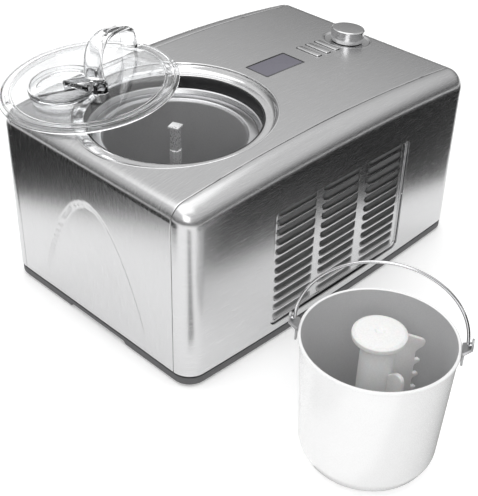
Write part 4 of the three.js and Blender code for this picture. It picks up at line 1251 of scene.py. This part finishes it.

# %% [markdown]
# ## Controls
#
# On the top are a display behind a smoked pane, three narrow steel push buttons with rounded
# ends, and a turned steel dial in a shallow dish. The pane has a darker printed border round
# its field. Each button stands over a thin black slab, painted shade for the gap round it, and
# the dial's dish has a fine rounded edge.

# %% Display pane
left, right, front, back = WINDOW
half_x, half_y = (right - left) / 2, (back - front) / 2
pane_x, pane_y = (left + right) / 2, (front + back) / 2
border = finish("pane border", (0.022, 0.022, 0.025), (0.03, 0.03, 0.034), (0.12, 0.2), coat=0.6, bump=0.0)


def top_piece(name, outline, low, high, material, x, y, top=0.4, bottom=0.2):
    points, faces = raised(outline, low, high, top, bottom, 3)
    return mesh_piece(name, laid_on_top(points, x, y), faces, material)


pane = top_piece("display_pane", rounded_rectangle(-half_x, half_x, -half_y, half_y, 1.3), -2.4, -0.35, border,
                 pane_x, pane_y)
settle(pane, "machine", "display_window", slot="smoked_window")
field = top_piece("display_field", rounded_rectangle(-half_x + 1.7, half_x - 1.7, -half_y + 1.7, half_y - 1.7, 0.8),
                  -0.5, -0.22, smoked_pane, pane_x, pane_y, top=0.1, bottom=0)
settle(field, "machine", slot="smoked_window")

# %% Push buttons
for number, x in enumerate(BUTTON_XS, 1):
    half, reach = BUTTON_WIDTH / 2, BUTTON_LENGTH / 2
    outline = rounded_rectangle(-half, half, -reach, reach, 2.6)
    cap = top_piece(f"button_cap_{number}", outline, -4.6, 1.35, button_steel, x, BUTTON_Y, top=1.1)
    stem = top_piece("stem", rounded_rectangle(-2.5, 2.5, -4, 4, 0.8), -12.5, -3, button_steel, x, BUTTON_Y)
    combine(cap, [stem], "UNION", crease=35)
    settle(cap, f"button_{number}", f"button_{number}", slot="brushed_steel")
    # A thin black slab under each button: painted shade for the gap round it.
    well = top_piece(f"button_gap_shade_{number}", rounded_rectangle(-half - 0.8, half + 0.8, -reach - 0.8,
                                                                reach + 0.8, 3.0),
                     -5.9, -5.2, black_plastic, x, BUTTON_Y)
    settle(well, "machine", slot="black_plastic")

# %% Dial and its dish
axis = Vector((-slope_at(KNOB_X), 0, 1)).normalized()
dial_centre = tuple(np.array([KNOB_X, 0, top_at(KNOB_X)]) * MM + MACHINE)
dial_steel = turned_steel("turned dial", dial_centre, axis)
rim = DISH_RADIUS
dish_corners = [(4.5, -3.4, 0.1), (rim - 4, -3.4, 1), (rim, -2.4, 0.6), (rim, 0.0, 0.5), (rim - 1.4, 0.0, 0.6),
                (rim - 3.2, -1.5, 2.0), (4.5, -1.6, 0.1)]
points, faces = turned(rounded_profile(dish_corners, steps=5), 128)
dish = mesh_piece("dial_surround", laid_on_top(points, KNOB_X), faces, dial_steel)
settle(dish, "machine", "dial_dish", slot="brushed_steel")

knob_corners = [(0, 3, 0), (3.6, 3, 0.1), (3.6, -0.9, 0.1), (KNOB_RADIUS - 1.6, -0.9, 0.3),
                (KNOB_RADIUS - 1.2, 1.1, 0.3),
                (KNOB_RADIUS, 1.6, 0.5), (KNOB_RADIUS, KNOB_HEIGHT - 1.1, 0.9),
                (KNOB_RADIUS - 1.2, KNOB_HEIGHT, 0.6), (0, KNOB_HEIGHT - 0.25, 0)]
points, faces = turned(rounded_profile(knob_corners, steps=5, closed=False), 128, closed=False)
knob = mesh_piece("dial", laid_on_top(points, KNOB_X), faces, dial_steel)
settle(knob, "knob", "control_knob", slot="turned_steel")

# %% [markdown]
# ## The clear lid
#
# The lid is one clear moulding: a flat disc with a stepped flange, a round wall for the refill
# port, and posts for the handle. Clear plastic must be a single closed skin, because every
# hidden inner wall would bend the light again, so its parts are joined into one solid. It lies
# a little askew over the well, so it is drawn flat and then tipped to its own plane.

# %% Lid plane
LID_CENTRE, LID_NORMAL = np.array([-126.0, 99.5, 213.3]), Vector((-0.11, 0.02, 1)).normalized()
LID_TILT = np.array(Vector((0, 0, 1)).rotation_difference(LID_NORMAL).to_matrix())
PORT, PORT_RADIUS, MOON = (-24.0, 9.0), 37.0, 29.0
NEAR_POST, FAR_POST = np.array([-8.0, -25.0]), np.array([75.0, 22.0])
HANDLE_TURN = math.degrees(math.atan2(FAR_POST[1] - NEAR_POST[1], FAR_POST[0] - NEAR_POST[0]))


def on_lid(points):
    return np.asarray(points, float) @ LID_TILT.T + LID_CENTRE


def lid_part(name, points, faces):
    return tool(name, on_lid(points), faces)


def ellipse(half_length, half_width, sides=48, square=2.0):
    out = []
    for k in range(sides):
        a = 2 * math.pi * k / sides
        c, s = math.cos(a), math.sin(a)
        out.append((half_length * math.copysign(abs(c) ** (2 / square), c),
                    half_width * math.copysign(abs(s) ** (2 / square), s)))
    return out


def half_moon(name, radius, low, high, turn):
    outline = [(radius * math.cos(math.radians(a)), radius * math.sin(math.radians(a)))
               for a in np.linspace(15, 165, 40)]
    points, faces = raised(outline, low, high, 0.0, 0.0, 1)
    return lid_part(name, placed(points, (*PORT, 0), turn), faces)


# %% Lid body
lid_corners = [(0, 2.9, 0), (79.5, 2.9, 0.4), (79.5, -1.3, 0.5), (81.5, -1.3, 0.5), (81.5, 2.9, 0.4),
               (88.6, 2.9, 0.5), (88.6, 1.2, 0.8),
               (89.8, 0, 0.4), (94.2, 0, 0.7), (94.2, 1.8, 0.7), (90.9, 1.9, 0.6), (90.2, 4.0, 0.6),
               (89.4, 4.8, 0.5), (0, 4.8, 0)]
points, faces = turned(rounded_profile(lid_corners, steps=4, closed=False), 160, closed=False)
lid = mesh_piece("clear_lid", on_lid(points), faces, clear_plastic)
bore = PORT_RADIUS - 2.2
wall_corners = [(bore, 4.2, 0.1), (PORT_RADIUS, 4.2, 0.1), (PORT_RADIUS, 10.5, 0.8), (bore, 10.5, 0.6)]
points, faces = turned(rounded_profile(wall_corners), 96)
additions = [lid_part("port wall", placed(points, (*PORT, 0)), faces)]
points, faces = raised(ellipse(6.4, 11.9, square=2.6), 4.2, 20, 2.2, 0.0, 5)
additions.append(lid_part("near post", placed(points, (*NEAR_POST, 0), HANDLE_TURN), faces))
points, faces = raised(ellipse(5, 9, square=2.6), 4.2, 8, 1.0, 0.0, 4)
additions.append(lid_part("far post", placed(points, (*FAR_POST, 0), HANDLE_TURN), faces))
for degrees in (150, -35):
    points, faces = raised(rounded_rectangle(80.8, 86.4, -8, 8, 1.2, 3), -1.3, 0.6, 0.3, 0.3, 2)
    additions.append(lid_part("bayonet lug", placed(points, (0, 0, 0), degrees), faces))
combine(lid, additions, "UNION", crease=30)
points, faces = turned([(0, 4.95), (bore, 4.95), (bore, 30), (0, 30)], 96, closed=False)
combine(lid, [lid_part("port bore", placed(points, (*PORT, 0)), faces),
              half_moon("port opening", MOON, 0, 8, 150)], crease=30)
settle(lid, "lid", "lid", slot="clear_plastic")

# %% Handle
# Each stop is the share of the way from the near post to the far one, and the height.
ARCH = [(0, 20.4), (0, 32), (0.06, 43), (0.2, 49.5), (0.4, 48.5), (0.62, 42.5), (0.84, 34), (0.97, 25), (1, 17),
        (1, 8.4)]


def handle_path(steps=64):
    """A smooth curve through the stops, stepped evenly along its length."""
    stops = np.array([(*(NEAR_POST + (FAR_POST - NEAR_POST) * share), height) for share, height in ARCH])
    knots = np.concatenate([[0], np.cumsum(np.sqrt(np.linalg.norm(np.diff(stops, axis=0), axis=1)))])
    ends = np.vstack([2 * stops[0] - stops[1], stops, 2 * stops[-1] - stops[-2]])
    times = np.concatenate([[2 * knots[0] - knots[1]], knots, [2 * knots[-1] - knots[-2]]])
    fine = []
    for t in np.linspace(0, knots[-1] - 1e-9, 400):
        k = int(np.searchsorted(knots, t, side="right"))
        (p0, p1, p2, p3), (t0, t1, t2, t3) = ends[k - 1:k + 3], times[k - 1:k + 3]
        a1, a2, a3 = (((q - t) * p + (t - s) * r) / (q - s) for p, r, s, q in ((p0, p1, t0, t1),
                                                                               (p1, p2, t1, t2), (p2, p3, t2, t3)))
        b1, b2 = ((t2 - t) * a1 + (t - t0) * a2) / (t2 - t0), ((t3 - t) * a2 + (t - t1) * a3) / (t3 - t1)
        fine.append(((t2 - t) * b1 + (t - t1) * b2) / (t2 - t1))
    fine = np.array(fine + [stops[-1]])
    walked = np.concatenate([[0], np.cumsum(np.linalg.norm(np.diff(fine, axis=0), axis=1))])
    even = np.linspace(0, walked[-1], steps)
    return np.stack([np.interp(even, walked, fine[:, i]) for i in range(3)], 1)


path = handle_path()
span = np.array([*(FAR_POST - NEAR_POST), 0.0])
band = [(b, a) for a, b in ellipse(9.0, 3.2, 40, 3.2)]
widths = [(1.0, 1 + 0.14 * (1 - t) ** 3) for t in np.linspace(0, 1, len(path))]
points, faces = swept(path, band, up=np.cross(span, (0, 0, 1)), widths=widths)
handle = mesh_piece("lid_grip", on_lid(points), faces, clear_plastic, crease=40)
points, faces = turned([(0, -60), (160, -60), (160, 8.3), (0, 8.3)], 48, closed=False)
keep_out = [lid_part("below the posts", points, faces)]
points, faces = raised(ellipse(6.8, 12.4, square=2.6), 0, 20.3, 0, 0, 1)
keep_out.append(lid_part("post room", placed(points, (*NEAR_POST, 0), HANDLE_TURN), faces))
combine(handle, keep_out, crease=35)
settle(handle, "lid", "lid_handle", slot="clear_plastic")

# %% Refill cap
disk_corners = [(0, 5.15, 0), (bore - 0.6, 5.15, 0.4), (bore - 0.6, 7.2, 0.6), (0, 7.2, 0)]
points, faces = turned(rounded_profile(disk_corners, closed=False), 96, closed=False)
cap = mesh_piece("refill_disc", on_lid(placed(points, (*PORT, 0))), faces, clear_plastic)
walls = []
for degrees in (-75, -33):
    points, faces = raised(rounded_rectangle(0, PORT_RADIUS - 6, -1.1, 1.1, 0.9, 4), 6.5, 12.4, 0.5, 0, 3)
    walls.append(lid_part("grip wall", placed(points, (*PORT, 0), degrees), faces))
combine(cap, walls, "UNION", crease=30)
combine(cap, [half_moon("cap opening", MOON, 0, 20, -30)], crease=30)
settle(cap, "refill_cap", "refill_cap", slot="clear_plastic")

# %% [markdown]
# ## The bowl
#
# The bowl is spun from aluminium, enamelled white outside and lined grey inside, with a rolled
# rim and a tube in its middle that the drive shaft comes up through. Its wall is one closed
# profile. The faces that look inwards get the lining.

# %% Bowl
bowl_corners = [(9, 0, 0.3), (43.2, 0, 6), (56.2, 4.4, 14), (62.2, 17, 14), (67.5, 129.6, 0.8),
                (69.0, 131.0, 1.0), (69.0, 133.0, 1.0),
                (67.8, 133.8, 0.8), (66.1, 133.2, 0.8), (60.7, 17.6, 13), (55.2, 5.8, 13), (42.6, 1.6, 6),
                (11.2, 1.6, 0.5), (10.4, 104, 0.4), (9, 104, 0.4)]
points, faces = turned(rounded_profile(bowl_corners, steps=7), 160)
bowl = mesh_piece("bowl_shell", placed(points, BOWL_AXIS), faces, [white_enamel, bowl_lining], crease=40)
for polygon in bowl.data.polygons:
    centre = (np.array(polygon.center) - MACHINE) / MM - BOWL_AXIS
    outward = centre[0] * polygon.normal.x + centre[1] * polygon.normal.y
    radius = math.hypot(centre[0], centre[1])
    inside = (outward < 0 and 40 < radius and centre[2] < 133.0) or (polygon.normal.z > 0.3
                                                                     and centre[2] < 20) or (radius < 12
                                                                     and centre[2] > 1)
    polygon.material_index = 1 if inside else 0
settle(bowl, "bowl", "bowl", slot="white_coat")

# %% [markdown]
# ## Bail and its lugs
#
# The bail is one length of steel wire, bent to a half ellipse. Its ends turn outwards through
# the ears of two small sheet lugs under the rim, and stick out a little. A circle carried along
# the bent path makes the wire, and the lugs are cut from plate.

# %% Wire bail
BAIL_TURN, BAIL_Z, BAIL_HALF, BAIL_RISE, WIRE = -57.7, 140.0, 72.5, 71.0, 1.4


def bail_path():
    outer = BAIL_HALF + 4.2
    half = [(-outer, 0, BAIL_Z), (-outer + 1.6, 0, BAIL_Z)]
    bend = [(-BAIL_HALF - 1.7 + 1.7 * math.sin(a), 0, BAIL_Z + 1.7 * (1 - math.cos(a)))
            for a in np.linspace(0, math.pi / 2, 6)]
    arch = [(-BAIL_HALF * math.cos(a), 0, BAIL_Z + BAIL_RISE * math.sin(a))
            for a in np.linspace(0.06, math.pi / 2, 34)]
    near = half + bend + arch
    return near + [(-x, y, z) for x, y, z in reversed(near[:-1])]


points, faces = swept(bail_path(), circle(WIRE, 16), up=(0, 1, 0))
bail = mesh_piece("wire_bail", placed(points, BOWL_AXIS, BAIL_TURN), faces, wire_steel, crease=45)
settle(bail, "bail", "bail", slot="bright_wire")

# %% Lugs
lug_steel = finish("lug steel", (0.3, 0.3, 0.305), (0.42, 0.42, 0.425), (0.3, 0.42), 1.0, cloud=40.0)


def standing(points):
    """Turn a shape drawn flat upright, facing outwards: x across, y up, z out from the axis."""
    return np.stack([points[:, 2], points[:, 0], points[:, 1]], 1)


TAB_SIDE = [(68.9, 124), (70.7, 124), (70.7, 134.2), (77.3, 138.3), (77.3, 146.4), (75.8, 146.4), (75.8, 139.4),
            (68.9, 135.6)]
TAB_FRONT = [(-9, 120), (9, 120), (9, 133), (4.2, 140.6)] + [
    (4.0 * math.cos(a), 142.4 + 4.0 * math.sin(a)) for a in np.linspace(0.1, math.pi - 0.1, 12)] + [(-4.2,
                                                                                                     140.6), (-9, 133)]
for name, node, turn in (("lug_front", "bail_lug_front", BAIL_TURN), ("lug_back", "bail_lug_back", BAIL_TURN + 180)):
    strip, mesh = raised(TAB_SIDE, -9.2, 9.2, 0.0, 0.0, 1)
    strip = np.stack([strip[:, 0], -strip[:, 2], strip[:, 1]], 1)
    lug = mesh_piece(name, placed(strip, BOWL_AXIS, turn), mesh, lug_steel)
    front, front_mesh = raised(TAB_FRONT, 60, 90, 0.0, 0.0, 1)
    hole, hole_mesh = turned([(0, 70), (1.8, 70), (1.8, 80), (0, 80)], 32, closed=False)
    combine(lug, [tool("tab front", placed(standing(front), BOWL_AXIS, turn), front_mesh)], "INTERSECT", crease=35)
    combine(lug, [tool("hole", placed(standing(hole) + (0, 0, BAIL_Z), BOWL_AXIS, turn), hole_mesh)], crease=35)
    lug.data.materials.clear()
    lug.data.materials.append(lug_steel)
    settle(lug, "bowl", node, slot="bright_wire")

# %% [markdown]
# ## The paddle
#
# The paddle is a white moulding: a slightly tapered tube that slips over the bowl's own tube,
# a tall scraper blade with rounded teeth and a hooked top, a shorter blade beside it, and a low
# blade opposite. A round cap closes the top. Blades are flat outlines with rounded edges,
# joined to the tube in one skin.


# %% Blade outlines
def nose(x, z, radius, start, end, steps=9):
    angles = np.radians(np.linspace(start, end, steps))
    return [(x + radius * math.cos(a), z + radius * math.sin(a)) for a in angles]


def main_outline(edge=40.5):
    outline = [(14, 6.6), (50.5, 6.6)] + nose(53, 10, 2.6, -60, 70, 6) + [(42, 15.4), (edge, 18.5)]
    for z in (27, 43, 59, 75, 91):
        outline += [(edge, z - 4.4), (edge + 0.8, z - 2.8)]
        outline += nose(edge + 4.6, z, 1.9, -90, 90, 7)
        outline += [(edge + 1.2, z + 2.2), (edge, z + 3.4)]
    return outline + [(edge, 103.5)] + nose(edge + 4.5, 110.5, 5, -100, 62, 10) + [(31, 125.5), (23, 130.4),
                                                                                   (14, 132)]


INNER = [(14, 6.6), (48.5, 6.6)] + nose(48.5, 8.4, 1.6, -90, 60, 5) + [(35, 19.5), (33, 24)] + nose(24.5, 102,
                                                                                                    6, 0, 120) + [(14, 101)]
LOW = [(14, 6.6), (50.5, 6.6)] + nose(52.6, 10.2, 2.6, -60, 60, 6) + [(46, 28)] + nose(34, 44, 5, 10,
                                                                                       120) + [(14, 52)]
MAIN_TURN, INNER_TURN = -18.0, -93.0


def blade(name, outline, thickness, turn):
    points, faces = raised(outline, -thickness / 2, thickness / 2, 0.9, 0.9, 4)
    stood = np.stack([points[:, 0], -points[:, 2], points[:, 1]], 1)
    return tool(name, placed(stood, BOWL_AXIS, turn), faces)


# %% Paddle
tube_corners = [(12.25, 6.1, 0.4), (15.9, 6.1, 0.8), (14.9, 133, 0.3), (12.25, 133, 0.3)]
points, faces = turned(rounded_profile(tube_corners), 96)
paddle = mesh_piece("paddle_body", placed(points, BOWL_AXIS), faces, white_plastic)
blades = [blade("main", main_outline(), 4.0, MAIN_TURN), blade("inner", INNER, 4.4, INNER_TURN),
          blade("low", LOW, 4.0, MAIN_TURN + 180)]
combine(paddle, blades, "UNION", crease=35)
points, faces = turned([(0, 0), (12.25, 0), (12.25, 140), (0, 140)], 96, closed=False)
combine(paddle, [tool("bore", placed(points, BOWL_AXIS), faces)], crease=35)
settle(paddle, "paddle", "paddle", slot="white_plastic")

# %% Paddle cap and bush
cap_corners = [(0, 117, 0), (11.4, 117, 0.4), (11.4, 133.3, 0.2), (23, 133.3, 0.4), (23.9, 134.4, 0.5),
               (23.9, 138.2, 1.2), (21.0, 139.9, 3),
               (9, 140.9, 2), (4.6, 140.8, 0.7), (2.9, 139.7, 1.0), (0, 139.5, 0)]
points, faces = turned(rounded_profile(cap_corners, steps=5, closed=False), 96, closed=False)
paddle_cap = mesh_piece("paddle_top", placed(points, BOWL_AXIS), faces, white_plastic)
socket, mesh = raised(rounded_rectangle(-6.5, 6.5, -6.5, 6.5, 0.8), 110, 136, 0, 0, 1)
combine(paddle_cap, [tool("socket", placed(socket, BOWL_AXIS), mesh)], crease=35)
settle(paddle_cap, "paddle", "paddle_cap", slot="white_plastic")

points, faces = turned(rounded_profile([(11.6, 2, 0.3), (15.5, 2, 0.3), (15.5, 5.6, 0.6), (11.6, 5.6, 0.4)]), 64)
bush = mesh_piece("bush", placed(points, BOWL_AXIS), faces, grey_plastic)
settle(bush, "paddle_bush", "paddle_bush", slot="grey_plastic")

# %% [markdown]
# ## What is inside
#
# The drive and the cooling circuit are behind the casing. Their CAD shapes are right as they
# are, so they stay, and each gets the finish of what it is made of.

# %% Finishes for the CAD nodes that stay
INSIDE = {
    copper: ("evaporator_coil", "liquid_line", "discharge_pipe", "suction_pipe"),
    foam: ("insulation_jacket",),
    galvanised: ("cavity_bracket", "idler_pin", "motor_pinion", "drive_motor"),
    bronze: ("shaft_bearing_upper", "shaft_bearing_lower"),
    gear_plastic: ("drive_gear", "idler_gear"),
    black_plastic: ("gearbox_case", "gearbox_lid", "fan_shroud", "condenser_fan", "fan_motor", "display_module",
                    "knob_encoder"),
    black_enamel: ("compressor",),
    rubber: tuple(f"compressor_mount_{p}" for p in ("front_left", "front_right", "back_left", "back_right")),
    fin_metal: ("condenser",),
    board: ("control_board",),
}
for material, names in INSIDE.items():
    for name in names:
        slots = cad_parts[name].data.materials
        slots.clear()
        slots.append(material)
print("CAD nodes that keep their shape:", sum(len(names) for names in INSIDE.values()))
